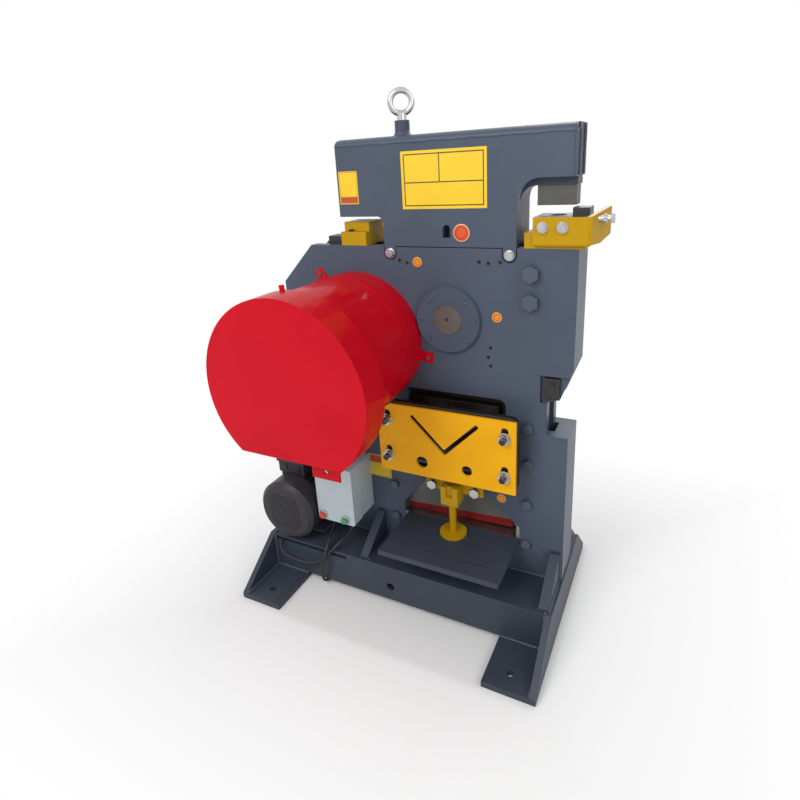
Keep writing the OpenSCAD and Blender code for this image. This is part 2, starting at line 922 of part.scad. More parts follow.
module bearing_cap() {
    color(frame_grey) plate(body_front_y - cap_t, cap_t) difference() {
        disc_at(ecc_p, cap_r);
        disc_at(ecc_p, nose_r + nose_gap);
    }
}

// Socket screws of the bearing cap and of the front guard's tabs
module socket_screw(p, y) {
    difference() {
        rod(p, y - screw_h, screw_r, screw_h);
        rod(p, y - screw_h - overrun, socket_r, screw_h / 2 + overrun);
    }
}
module cover_screws() {
    color(zinc) {
        for (t = cap_angles) socket_screw(ray_to(ecc_p, cap_bolt_r, t), body_front_y - cap_t);
        for (t = tab_angles) socket_screw(ray_to(drive_p, tab_r, t), body_front_y - sheet_t);
    }
}

// Toothed rim, thin web with round holes, and a hub
module bull_gear() {
    web_r = (hub_r + bull_r - rim_t) / 2;
    color(dark_steel) difference() {
        plate(gear_y, gear_w) difference() {
            translate(ecc_p) rotate(drive_angle + 180 / bull_teeth) gear_outline(bull_teeth);
            disc_at(ecc_p, seat_r + run);
            for (i = [0:lighten_count - 1])
                disc_at(ray_to(ecc_p, web_r, 360 * i / lighten_count), (bull_r - rim_t - hub_r) * hole_share);
        }
        for (y = [gear_y - overrun, gear_y + (gear_w + web_t) / 2])
            plate(y, (gear_w - web_t) / 2 + overrun) difference() {
                disc_at(ecc_p, bull_r - rim_t);
                disc_at(ecc_p, hub_r);
            }
    }
}

// Shaft with the pinion cut on it, from the flywheel at the front to the belt pulley at the rear
drive_front = cover_y - cover_l + sheet_t + fly_gap / 2;
shaft_end = 6;
drive_rear = belt_y + pulley_w + shaft_end;
module drive_shaft() {
    color(bare_steel) union() {
        rod(drive_p, drive_front, drive_r, drive_rear - drive_front);
        plate(gear_y, gear_w) translate(drive_p) rotate(drive_angle + 180) gear_outline(pinion_teeth);
    }
}

// Tube on the front plate that carries the drive shaft's outer bearing
module bearing_sleeve() {
    end_y = cover_y + sheet_t + fly_gap;
    color(frame_grey) difference() {
        union() {
            rod(drive_p, end_y, sleeve_r, body_front_y - end_y);
            rod(drive_p, body_front_y - sleeve_flange_t, sleeve_flange_r, sleeve_flange_t);
        }
        rod(drive_p, end_y - overrun, bearing_r, bearing_w + overrun);
        rod(drive_p, end_y, drive_r + fly_gap, body_front_y - end_y + overrun);
    }
}

// A wheel turned from its half section: hub, web and rim
module wheel(p, y, w, rim_r, rim_in, web, hub, bore) {
    translate([p[0], y, p[1]]) rotate([-90, 0, 0]) rotate_extrude() {
        translate([bore, 0]) square([hub - bore, w]);
        translate([bore, (w - web) / 2]) square([rim_r - bore, web]);
        translate([rim_in, 0]) square([rim_r - rim_in, w]);
    }
}

module flywheel() {
    color(dark_steel) difference() {
        wheel(drive_p, drive_front, fly_w, fly_r, fly_r - fly_rim, fly_web, wheel_hub_r, drive_r + run);
        for (i = [0:lighten_count - 1])
            rod(ray_to(drive_p, (wheel_hub_r + fly_r - fly_rim) / 2, 360 * i / lighten_count),
                drive_front - overrun, (fly_r - fly_rim - wheel_hub_r) * hole_share, fly_w + 2 * overrun);
    }
}

// Grooves for the belts, a little wider and deeper than the belts themselves
module belt_groove() {
    polygon([[-groove_depth / 2, -belt_in_w / 2 - belt_gap],
        [belt_h / 2 + pulley_lip, -belt_w / 2 - 4 * belt_gap],
        [belt_h / 2 + pulley_lip, belt_w / 2 + 4 * belt_gap],
        [-groove_depth / 2, belt_in_w / 2 + belt_gap]]);
}
function belt_offset(i) = pulley_lip + (i + 0.5) * belt_pitch;
module grooved_wheel(p, r, rim_in, web, hub, bore) {
    translate([p[0], belt_y, p[1]]) rotate([-90, 0, 0]) rotate_extrude() difference() {
        union() {
            translate([bore, 0]) square([hub - bore, pulley_w]);
            translate([bore, (pulley_w - web) / 2]) square([r - bore, web]);
            translate([rim_in, 0]) square([r + belt_h / 2 - rim_in, pulley_w]);
        }
        for (i = [0:belts - 1]) translate([r, belt_offset(i)]) belt_groove();
    }
}
pulley_rim = 24;
pulley_web = 16;
module belt_pulley() {
    color(dark_steel) difference() {
        grooved_wheel(drive_p, pulley_r, pulley_r - pulley_rim, pulley_web, wheel_hub_r, drive_r + run);
        for (i = [0:lighten_count - 1])
            rod(ray_to(drive_p, (wheel_hub_r + pulley_r - pulley_rim) / 2, 360 * i / lighten_count),
                belt_y - overrun, (pulley_r - pulley_rim - wheel_hub_r) * hole_share,
                pulley_w + 2 * overrun);
    }
}

// A band round both pulleys, from the height a to the height b over the belt's pitch line
module band(y, w, a, b) {
    plate(y - w / 2, w) difference() {
        wrap(drive_p, pulley_r + b, motor_p, motor_pulley_r + b);
        wrap(drive_p, pulley_r + a, motor_p, motor_pulley_r + a);
    }
}
module v_belts() {
    color(cable_black) for (i = [0:belts - 1]) union() {
        band(belt_y + belt_offset(i), belt_w, belt_h / 4, belt_h / 2);
        band(belt_y + belt_offset(i), belt_in_w, -belt_h / 2, belt_h / 3);
    }
}

// Slide plate under the motor, on four distance washers
plate_washer_r = 16;
plate_washer_in = 22;
module motor_plate() {
    x0 = motor_x - motor_plate_w / 2;
    y0 = barrel_y + rotor_inset;
    z0 = beam_top + motor_gap;
    color(frame_grey) union() {
        block([x0, y0, z0], [x0 + motor_plate_w, y0 + motor_plate_d, z0 + motor_plate_t]);
        for (x = [x0 + plate_washer_in, x0 + motor_plate_w - plate_washer_in],
            y = [y0 + plate_washer_in, y0 + motor_plate_d - plate_washer_in])
            translate([x, y, beam_top]) cylinder(r = plate_washer_r, h = motor_gap + slip);
    }
}

// Finned barrel with its feet, drive-end shield, stator bore and the seat of the terminal box
motor_foot_w = 44;
motor_foot_d = 160;
motor_foot_t = 14;
motor_foot_x = 80;
shield_bore = 30;
module motor_frame() {
    br = motor_r * barrel_share;
    z0 = motor_p[1] - motor_h;
    color(motor_grey) difference() {
        union() {
            plate(barrel_y, barrel_l) {
                disc_at(motor_p, br);
                for (i = [0:fin_count - 1]) translate(motor_p) rotate(360 * i / fin_count)
                    translate([0, -fin_t / 2]) square([motor_r - sheet_t - slip, fin_t]);
            }
            rod(motor_p, motor_end_y - shield_l, br, shield_l);
            block([term_x - term_w / 2 + term_wall, term_y + term_wall, motor_p[1] + br / 2],
                [term_x + term_w / 2 - term_wall, term_y + term_d - term_wall, term_z]);
            for (s = [-1, 1]) {
                xf = motor_x + s * motor_foot_x;
                block([xf - motor_foot_w / 2, barrel_y + barrel_l / 4, z0],
                    [xf + motor_foot_w / 2, barrel_y + barrel_l / 4 + motor_foot_d, z0 + motor_foot_t]);
                block([xf - motor_foot_t, barrel_y + barrel_l / 4, z0],
                    [xf + motor_foot_t, barrel_y + barrel_l / 4 + motor_foot_d, motor_p[1] - br / 3]);
            }
        }
        rod(motor_p, barrel_y + rotor_inset, stator_r, barrel_l - rotor_inset);
        rod(motor_p, barrel_y - overrun, motor_shaft_r + run, motor_l + overrun);
    }
}

module motor_rotor() {
    y0 = fan_y + sheet_t + rotor_inset;
    color(bare_steel) union() {
        rod(motor_p, y0, motor_shaft_r, belt_y + pulley_w - y0);
        rod(motor_p, barrel_y + 2 * rotor_inset, stator_r - rotor_gap, barrel_l - 3 * rotor_inset);
    }
}

fan_blades = 7;
fan_share = 0.82;
fan_l = 38;
fan_hub = 26;
fan_disc = 5;
module cooling_fan() {
    y0 = fan_y + sheet_t + rotor_inset;
    color(dark_steel) difference() {
        union() {
            rod(motor_p, y0, fan_hub, fan_l);
            rod(motor_p, y0 + fan_l - fan_disc, motor_r * fan_share, fan_disc);
            plate(y0, fan_l) for (i = [0:fan_blades - 1]) translate(motor_p)
                rotate(360 * i / fan_blades) translate([0, -fin_t / 2])
                    square([motor_r * fan_share, fin_t]);
        }
        rod(motor_p, y0 - overrun, motor_shaft_r + run, fan_l + 2 * overrun);
    }
}

motor_hub_r = 30;
module motor_pulley() {
    color(dark_steel) grooved_wheel(motor_p, motor_pulley_r, motor_hub_r, pulley_w, motor_hub_r,
        motor_shaft_r + run);
}

// Pressed cover over the fan, its face perforated in a square pattern
fan_edge = 14;
module fan_cover() {
    face_r = motor_r - fan_edge;
    color(motor_grey) union() {
        translate([motor_p[0], fan_y, motor_p[1]]) rotate([-90, 0, 0]) rotate_extrude()
            polygon([[face_r - fan_edge, 0], [face_r, 0], [motor_r, fan_edge],
                [motor_r, fan_cover_l + fan_lap], [motor_r - sheet_t, fan_cover_l + fan_lap],
                [motor_r - sheet_t, fan_edge + sheet_t / 2], [face_r - sheet_t / 2, sheet_t],
                [face_r - fan_edge, sheet_t]]);
        plate(fan_y, sheet_t) difference() {
            disc_at(motor_p, face_r - fan_edge / 2);
            for (i = [-perf_n:perf_n], k = [-perf_n:perf_n])
                if (norm([i, k]) * perf_pitch < face_r - fan_edge - perf_pitch / 2)
                    disc_at(motor_p + perf_pitch * [i, k], perf_r);
        }
    }
}

// Terminal box with two blanking plugs
term_wall = 5;
term_lid = 8;
module terminal_box() {
    z0 = term_z;
    x0 = term_x - term_w / 2;
    color(motor_grey) difference() {
        union() {
            block([x0, term_y, z0], [x0 + term_w, term_y + term_d, z0 + term_h]);
            block([x0 - term_wall, term_y - term_wall, z0 + term_h - term_lid],
                [x0 + term_w + term_wall, term_y + term_d + term_wall, z0 + term_h]);
            for (x = [x0 + term_w / 4, x0 + term_w * 3 / 4])
                rod([x, z0 + term_h / 2 - term_lid / 2], term_y - plug_h, plug_r, plug_h);
        }
        translate([x0 + term_w - term_wall, lead_exit_y, z0 + term_h / 2]) rotate([0, 90, 0])
            cylinder(r = lead_r, h = term_wall + overrun);
    }
}
lead_exit_y = term_y + term_d / 2;

// Rear drum of the front guard: a sheet ring on three tabs against the front plate
module guard_drum() {
    color(guard_red) difference() {
        union() {
            rod(drive_p, cover_y, drum_r, body_front_y - cover_y);
            rod(drive_p, bead_y, drum_r + bead, 2 * bead);
            for (t = tab_angles) plate(body_front_y - sheet_t, sheet_t) translate(drive_p) rotate(t)
                translate([drum_r - sheet_t / 2, -tab_w / 2])
                    square([tab_r - drum_r + tab_w / 2, tab_w]);
        }
        rod(drive_p, cover_y - overrun, drum_r - sheet_t, body_front_y - cover_y + 2 * overrun);
    }
}

// Front cap over the flywheel: a round box with a flat bottom and a bolted lug under it
module cover_outline(g) {
    intersection() {
        disc_at(cover_p, cover_r - g);
        translate(cover_p - [cover_r, cover_chord - g]) square([2 * cover_r, 2 * cover_r]);
    }
}
module guard_cap() {
    lug_p = cover_p + [lug_x, -cover_chord];
    color(guard_red) union() {
        difference() {
            plate(guard_front, cover_l) cover_outline(0);
            plate(guard_front + sheet_t, cover_l - 2 * sheet_t) cover_outline(sheet_t);
            rod(drive_p, cover_y - 2 * sheet_t, drum_r - sheet_t, 2 * sheet_t + overrun);
        }
        plate(guard_front + lug_y, lug_t) difference() {
            translate(lug_p - [lug_w / 2, lug_h]) square([lug_w, lug_h + sheet_t / 2]);
            disc_at(lug_p - [0, lug_h - lug_w / 4], screw_r + bolt_clear);
        }
        plate(cover_y - sheet_t, sheet_t) translate(ray_to(cover_p, cover_r, cover_tab_angle))
            rotate(cover_tab_angle) translate([-sheet_t, -tab_w / 4]) square([tab_w / 2, tab_w / 2]);
    }
}

// Rear guard over the gears, closed towards the belts; tabs hold it off the moving rear cheek
gear_guard_r = bull_r + gear_module + guard_clear + sheet_t;
pinion_guard_r = drum_r - guard_clear;
gear_tabs = [[ecc_p, gear_guard_r, 325], [ecc_p, gear_guard_r, 25], [drive_p, pinion_guard_r, 225]];
module gear_guard_outline(g) {
    wrap(ecc_p, gear_guard_r - g, drive_p, pinion_guard_r - g);
}
guard_gap = 8;
guard_stand = 2;
gear_guard_d = belt_y - guard_gap - body_rear_y;
module gear_guard() {
    y0 = body_rear_y + guard_stand;
    color(guard_red) union() {
        difference() {
            plate(y0, gear_guard_d - guard_stand) gear_guard_outline(0);
            plate(y0 - overrun, gear_guard_d - guard_stand - sheet_t + overrun) gear_guard_outline(sheet_t);
            rod(drive_p, body_rear_y, drive_r + guard_clear, gear_guard_d + overrun);
        }
        for (t = gear_tabs) plate(body_rear_y, guard_stand + sheet_t) translate(t[0]) rotate(t[2])
            translate([t[1] - sheet_t / 2, -tab_w / 2]) square([tab_w, tab_w]);
    }
}

// Rear guard over the belts, from the large pulley down to the motor
module belt_guard_outline(g) {
    wrap(drive_p, pulley_r + belt_h + guard_clear + sheet_t - g, motor_p,
        motor_pulley_r + belt_h + 2 * guard_clear + sheet_t - g);
}
belt_guard_y = body_rear_y + gear_guard_d;
belt_guard_d = belt_y + pulley_w + guard_clear + sheet_t - belt_guard_y;
module belt_guard() {
    color(guard_red) difference() {
        plate(belt_guard_y, belt_guard_d) belt_guard_outline(0);
        plate(belt_guard_y + sheet_t, belt_guard_d - 2 * sheet_t) belt_guard_outline(sheet_t);
        rod(drive_p, belt_guard_y - overrun, drive_r + guard_clear, sheet_t + 2 * overrun);
        rod(motor_p, belt_guard_y - overrun, motor_shaft_r + guard_clear, sheet_t + 2 * overrun);
    }
}

// Starter: a sheet box on the front plate, a deep front cover and the contactor inside
box_back = body_front_y;
cover_face_y = body_front_y - box_d;
seam_y = cover_face_y + cover_d;
module starter_box() {
    a = [box_x, box_z];
    b = [box_x + box_w, box_z + box_h];
    wall = [box_wall, box_wall];
    color(box_grey) difference() {
        plate(seam_y, box_back - seam_y) round_rect(a, b, box_r);
        plate(seam_y - overrun, box_back - seam_y - box_wall + overrun)
            round_rect(a + wall, b - wall, box_r - box_wall);
        for (x = [supply_x, motor_lead_x])
            translate([x, gland_y, box_z - overrun])
                cylinder(r = lead_r + bolt_clear, h = box_wall + 2 * overrun);
    }
}

module starter_cover() {
    a = [box_x - cover_lip, box_z - cover_lip];
    b = [box_x + box_w + cover_lip, box_z + box_h + cover_lip];
    wall = [box_wall, box_wall];
    color(box_grey) difference() {
        union() {
            plate(cover_face_y, cover_d) round_rect(a, b, box_r);
            for (x = [stop_x, start_x])
                rod([box_x + x, box_z + button_z], cover_face_y - bezel_h, bezel_r, bezel_h);
        }
        plate(cover_face_y + box_wall, cover_d - box_wall + overrun)
            round_rect(a + wall, b - wall, box_r - box_wall);
        for (x = [stop_x, start_x])
            rod([box_x + x, box_z + button_z], cover_face_y - bezel_h - overrun, button_r + slip,
                bezel_h + box_wall + 2 * overrun);
    }
}

// Push button: a cap in its bezel and a plunger behind it
plunger_l = 22;
plunger_r = 6;
module push_button(x) {
    p = [box_x + x, box_z + button_z];
    union() {
        rod(p, cover_face_y - bezel_h - button_h, button_r, button_h + bezel_h + box_wall);
        rod(p, cover_face_y, plunger_r, plunger_l);
    }
}
module start_button() {
    color(start_green) push_button(start_x);
}
module stop_button() {
    color(guard_red) push_button(stop_x);
}

module contactor() {
    x0 = box_x + (box_w - contactor_w) / 2;
    z0 = box_z + box_h - contactor_h - 2 * box_r;
    color(dark_steel) union() {
        block([x0, box_back - box_wall - contactor_d, z0],
            [x0 + contactor_w, box_back - box_wall, z0 + contactor_h]);
        block([x0 + box_r, box_back - box_wall - contactor_d - box_r, z0 + 2 * box_r],
            [x0 + contactor_w - box_r, box_back - box_wall - contactor_d, z0 + contactor_h - 2 * box_r]);
    }
}

// Glands: two under the starter box and one at the terminal box, each a nut and a tapered sleeve
gland_nut = 7;
module gland() {
    difference() {
        union() {
            cylinder(r = gland_r, h = gland_nut, $fn = 6);
            cylinder(r1 = gland_r - gland_taper, r2 = lead_r + gland_lip, h = gland_h);
        }
        translate([0, 0, -overrun]) cylinder(r = lead_r + bolt_clear, h = gland_h + 2 * overrun);
    }
}
term_exit = [term_x + term_w / 2, lead_exit_y, term_z + term_h / 2];
module cable_glands() {
    color(cable_black) {
        for (x = [supply_x, motor_lead_x]) translate([x, gland_y, box_z]) rotate([180, 0, 0]) gland();
        translate(term_exit) rotate([0, 90, 0]) gland();
    }
}

// Fixed section blade in the front plate's window
section_top_gap = 27;
blade_set = 5;
module section_blade() {
    color(dark_steel) plate(body_front_y + blade_set, plate_t - blade_set) difference() {
        translate([sect_x - sect_win_w / 2 + window_r, sect_win_z[0]])
            square([sect_win_w - 2 * window_r, sect_win_z[1] - sect_win_z[0] - section_top_gap]);
        section_openings(0);
    }
}

// Corner that the section plate and its backing leave free for the guard's drum
drum_clear = 5;
module drum_corner() {
    disc_at(drive_p, drum_r + drum_clear);
}

// Backing frame behind the section plate, on spacers round the studs
module section_backing() {
    a = [sect_x - sect_w / 2, sect_z + back_rise];
    b = [sect_x + sect_w / 2 + back_rise / 2, sect_z + sect_h + back_rise];
    y0 = sect_y + sect_gap;
    color(dark_steel) difference() {
        union() {
            plate(y0, back_t) difference() {
                round_rect(a, b, window_r);
                round_rect(a + [back_frame, back_frame / 3], b - [back_frame, back_frame / 3], corner_r);
                drum_corner();
            }
            for (s = [-1, 1], z = stud_zs)
                rod([sect_x + s * stud_dx, z], y0 + back_t / 2, spacer_r, body_front_y - y0 - back_t / 2);
        }
        for (s = [-1, 1], z = stud_zs)
            rod([sect_x + s * stud_dx, z], y0 - overrun, stud_r + bolt_clear,
                body_front_y - y0 + 2 * overrun);
    }
}

// Yellow section plate: V, two bar holes and four slots, so that it can be lowered
module section_plate() {
    r = stud_r + slot_play;
    color(tool_yellow) plate(sect_y - sect_t, sect_t) difference() {
        translate([sect_x - sect_w / 2, sect_z]) square([sect_w, sect_h]);
        section_openings(0);
        drum_corner();
        for (s = [-1, 1], z = stud_zs)
            slot2([sect_x + s * stud_dx, z - slip], [sect_x + s * stud_dx, z + sect_travel + slip], r);
    }
}

module section_studs() {
    nut_y = sect_y - sect_t - sect_gap;
    color(zinc) for (s = [-1, 1], z = stud_zs) {
        p = [sect_x + s * stud_dx, z];
        union() {
            rod(p, nut_y - washer_t - stud_out, stud_r,
                body_front_y + stud_sink - nut_y + washer_t + stud_out);
            rod(p, nut_y - washer_t, sect_washer_r, washer_t);
            hex(p, nut_y - washer_t - nut_h, nut_r, nut_h);
        }
    }
}

// Hold-down: a bored block on a cross bar, with a slot in its face
module hold_down_bracket() {
    a = [hold_x - hold_w / 2, hold_y - hold_d / 2, hold_z];
    b = a + [hold_w, hold_d, hold_h];
    bar_y = hold_y + hold_d / 2 - lug_bar_t;
    color(tool_yellow) difference() {
        union() {
            block(a, b);
            block([hold_x - lug_bar_w / 2, bar_y, lug_bar_z],
                [hold_x + lug_bar_w / 2, bar_y + lug_bar_t, lug_bar_z + lug_bar_h]);
        }
        translate([hold_x, hold_y, hold_z - overrun]) cylinder(r = stem_r + run, h = hold_h + 2 * overrun);
        block([hold_x - hold_slot_w / 2, hold_y - hold_d / 2 - overrun, hold_z + hold_h - hold_slot_h],
            [hold_x + hold_slot_w / 2, hold_y - hold_d / 2 + hold_slot_d, hold_z + hold_h + overrun]);
        for (s = [-1, 1])
            rod([hold_x + s * lug_bolt_dx, lug_bar_z + lug_bar_h / 2], bar_y - overrun,
                lug_bolt_r + bolt_clear, lug_bar_t + 2 * overrun);
    }
}

module hold_down_stem() {
    color(tool_yellow) translate([hold_x, hold_y, table_top + slip]) union() {
        cylinder(r = foot_pad_r, h = pad_t);
        cylinder(r = stem_r, h = stem_h);
    }
}

// Bolts of the hold-down's bar, with their distance tubes, and of the die bracket
module clamp_bolts() {
    bar_y = hold_y + hold_d / 2 - lug_bar_t;
    color(zinc) {
        for (s = [-1, 1]) {
            p = [hold_x + s * lug_bolt_dx, lug_bar_z + lug_bar_h / 2];
            union() {
                hex(p, bar_y - 2 * lug_bolt_r, nut_r, 2 * lug_bolt_r);
                rod(p, bar_y - lug_bolt_r, lug_bolt_r, body_front_y + stud_sink - bar_y + lug_bolt_r);
                rod(p, bar_y + lug_bar_t, lug_bolt_r * head_share, body_front_y - bar_y - lug_bar_t);
            }
        }
        for (x = die_bolt_xs) {
            p = [bracket_x + x, shoulder_z + die_bolt_z];
            rod(p, body_front_y - bracket_t - washer_t, washer_r, washer_t);
            hex(p, body_front_y - bracket_t - washer_t - cheek_head_h, cheek_head_r, cheek_head_h);
        }
    }
}

// Punching station: a base on the right shoulder, the die block on it and the bracket in front
die_y1 = body_rear_y;
module die_base() {
    color(tool_yellow) difference() {
        block([die_x, body_front_y, shoulder_z], [die_x + die_w, die_y1, shoulder_z + die_h]);
        translate([punch_x, mid_y, shoulder_z - overrun]) cylinder(r = slug_r, h = die_h + 2 * overrun);
    }
}
module die_block() {
    x1 = die_x + die_w;
    z1 = shoulder_z + die_h + die_top_h;
    color(dark_steel) difference() {
        union() {
            block([x1 - die_block_w, body_front_y, shoulder_z + die_h], [x1, body_front_y + die_block_d, z1]);
            block([x1 - stop_w, mid_y - stop_d / 2, z1], [x1, mid_y + stop_d / 2, z1 + stop_h]);
        }
        translate([punch_x, mid_y, shoulder_z - overrun])
            cylinder(r = slug_r, h = die_h + die_top_h + 2 * overrun);
    }
}
module die_bracket() {
    x1 = bracket_x + bracket_w;
    y0 = body_front_y - bracket_t;
    color(tool_yellow) difference() {
        union() {
            block([bracket_x, y0, bracket_z], [x1, body_front_y, bracket_z + bracket_h]);
            translate([0, 0, bracket_z]) linear_extrude(bracket_h + end_rise) polygon([[x1 - bracket_t, y0],
                [x1, y0], [x1 + end_run, y0 + end_depth], [x1 + end_run - bracket_t, y0 + end_depth]]);
        }
        rib(x1 - bracket_t - overrun, end_run + bracket_t + 2 * overrun) {
            polygon([[y0 - overrun, bracket_z + bracket_h], [y0 + end_depth + overrun, bracket_z + bracket_h
                + end_rise], [y0 - overrun, bracket_z + bracket_h + end_rise + overrun]]);
            polygon([[y0 + end_depth / 3, bracket_z - overrun],
                [y0 + end_depth + overrun, bracket_z - overrun],
                [y0 + end_depth + overrun, bracket_z + end_rise]]);
        }
        translate([x1 - bracket_t, y0 + adjust_y, shoulder_z + adjust_z]) rotate([0, 90, 0])
            cylinder(r = adjust_r + run, h = end_run + 2 * bracket_t);
    }
}
module die_adjuster() {
    tip = die_x + die_w + slip;
    color(zinc) translate([tip, body_front_y - bracket_t + adjust_y, shoulder_z + adjust_z])
        rotate([0, 90, 0]) union() {
            cylinder(r = adjust_r, h = adjust_l);
            translate([0, 0, adjust_l]) cylinder(r = cheek_head_r, h = cheek_head_h, $fn = 6);
            translate([0, 0, adjust_l - 2 * cheek_head_h])
                cylinder(r = cheek_head_r, h = cheek_head_h, $fn = 6);
        }
}

// Notching die on the left shoulder, in two steps; then the dark stop bar beside it and the block
// in the pocket of the right-hand notch
module notch_die() {
    color(tool_yellow) union() {
        block([notch_x0, body_front_y, shoulder_z], [notch_x0 + notch_w, body_rear_y, shoulder_z + notch_h1]);
        block([notch_x0, body_front_y + notch_set, shoulder_z + notch_h1],
            [notch_x0 + notch_w, body_front_y + notch_set + notch_d2, shoulder_z + notch_h1 + notch_h2]);
    }
}
module notch_blocks() {
    x0 = body_right - notch_block_out;
    z0 = notch_low + notch_block_up;
    color(dark_steel) {
        block([notch_x0 - bar_w, body_front_y + bar_set, shoulder_z],
            [notch_x0 - slip, body_front_y + bar_set + bar_d, shoulder_z + bar_h]);
        union() {
            block([x0, body_front_y + notch_block_set, z0],
                [x0 + notch_block_w, body_front_y + pocket_d, z0 + notch_block_h]);
            rod([x0 + notch_block_w / 2, z0 + notch_block_h * 2 / 3], body_front_y - notch_block_set,
                lug_bolt_r, 2 * notch_block_set);
        }
    }
}
notch_block_out = 82;
notch_block_up = 13;
notch_block_set = 3;
notch_block_w = 44;
notch_block_h = 65;

// Leads: a smooth tube through points chosen by hand, swept with a frame that doesn't twist
lead_sides = 8;
motor_lead_end = [motor_lead_x, gland_y, box_z - gland_h];
supply_start = [supply_x, gland_y, box_z - gland_h];
motor_route = [[-348, -68, 413], [-333, -63, 399], [-326, -55, 377], [-320, -41, 342], [-313, -25, 302],
    [-306, -8, 257], [-303, 8, 212], [-302, 17, 178], [-302, 18, 153], [-306, 14, 129], [-318, 4, 111],
    [-336, -12, 104], [-364, -37, 103], [-400, -69, 107], [-434, -102, 117], [-458, -130, 129],
    [-471, -158, 136], [-475, -184, 138.5], [-470, -207, 134], [-454, -223, 123], [-427, -228, 109],
    [-392, -224, 98], [-352, -216, 92], [-312, -208, 100], [-275, -203, 130], [-247, -197, 161],
    [-230, -179, 181], [-219, -150, 190], [-212, -121, 198], [-210, -101, 217]];
supply_route = [[-286, -100, 224], [-284, -117, 206], [-278, -143, 195], [-271, -172, 186], [-266, -198, 169],
    [-267, -214, 143], [-273, -219, 110], [-281, -218, 78], [-287, -214, 51], [-290, -204, 26],
    [-291, -185, 9], [-291, -160, 5], [-284, -132, 4.7], [-262, -105, 4.5], [-218, -84, 4.5]];
coil_c = [-150, 0];
coil_r = 65;
coil_turns = 2;
coil_step = 11.5;
coil_rings = 24;
coil_sides = 6;
coil_start = 283;
coil_rise_share = 0.35;
coil_eps = 0.001;
coil_lead_in = 18;
lead_steps = 3;

// Points on a curve through p, with n steps from point to point
function curve_at(a, b, c, d, t) = b + (c - a) * t / 2 + (a * 2 - b * 5 + c * 4 - d) * t * t / 2
    + (b * 3 - a - c * 3 + d) * t * t * t / 2;
function smooth(p, n) = [for (i = [0:len(p) - 2], k = [0:n - 1])
    curve_at(p[max(i - 1, 0)], p[i], p[i + 1], p[min(i + 2, len(p) - 1)], k / n), p[len(p) - 1]];
function unit(v) = v / norm(v);
function tangent(p, i) = unit(p[min(i + 1, len(p) - 1)] - p[max(i - 1, 0)]);
function turned(p, i, prev) = let (t = tangent(p, i)) unit(prev - t * (prev * t));
function frames(p, i, prev, out) = i == len(p) ? out
    : let (n = turned(p, i, prev)) frames(p, i + 1, n, concat(out, [n]));
module tube(p, r, sides, first) {
    n = frames(p, 0, first, []);
    ring = [for (i = [0:len(p) - 1], k = [0:sides - 1]) p[i] + r * (n[i] * cos(360 * k / sides)
        + cross(tangent(p, i), n[i]) * sin(360 * k / sides))];
    last = (len(p) - 1) * sides;
    walls = [for (i = [0:len(p) - 2], k = [0:sides - 1]) let (a = i * sides + k, b = i * sides
        + (k + 1) % sides) each [[a, a + sides, b], [b, a + sides, b + sides]]];
    ends = [[for (k = [0:sides - 1]) k], [for (k = [sides - 1:-1:0]) last + k]];
    polyhedron(ring, concat(walls, ends));
}

// Each tube passes squarely through its gland, where the curve's inner points are left out
function in_gland(i) = i > 0 && i < lead_steps;
module motor_lead() {
    path = smooth(concat([term_exit, term_exit + [gland_h, 0, 0]], motor_route,
        [motor_lead_end, motor_lead_end + [0, 0, gland_h]]), lead_steps);
    last = len(path) - 1;
    points = [for (i = [0:last]) if (!in_gland(i) && !in_gland(last - i)) path[i]];
    color(cable_black) tube(points, lead_r, lead_sides, [0, 1, 0]);
}

// The coil spirals in on the floor, climbs a layer and spirals out again
function coil_radius(u) = coil_r - coil_step * min(u, coil_turns)
    + coil_step * max(0, u - coil_turns - coil_rise_share);
function coil_lift(u) = lead_r + coil_step * max(0, min(1, (u - coil_turns) / coil_rise_share));
function coil_point(u) = let (t = coil_start + 360 * u, r = coil_radius(u))
    [coil_c[0] + r * cos(t), coil_c[1] + r * sin(t), coil_lift(u)];
function coil_dir(u) = unit(coil_point(u + coil_eps) - coil_point(u - coil_eps));
coil_end = 2 * coil_turns;
coil_ids = [0:coil_end * coil_rings + 2];
supply_dir = coil_dir(0);
supply_end = coil_point(0) - 2 * lead_r * supply_dir;
coil_path = concat([supply_end], [for (k = [0:coil_end * coil_rings]) coil_point(k / coil_rings)],
    [coil_point(coil_end) + 2 * lead_r * coil_dir(coil_end)]);
coil_gap = min([for (i = coil_ids, k = coil_ids) if (k > i + coil_rings / 2)
    norm(coil_path[i] - coil_path[k])]) - 2 * lead_r;
echo(coil_gap = coil_gap);
module supply_lead() {
    path = smooth(concat([supply_start + [0, 0, gland_h], supply_start], supply_route,
        [for (k = [2, 1, 0]) supply_end - (k * coil_lead_in + run) * supply_dir]), lead_steps);
    points = [for (i = [0:len(path) - 1]) if (!in_gland(i)) path[i]];
    color(cable_black) tube(points, lead_r, lead_sides, [1, 0, 0]);
}
module supply_coil() {
    color(cable_black) tube(coil_path, lead_r, coil_sides, [0, 0, 1]);
}

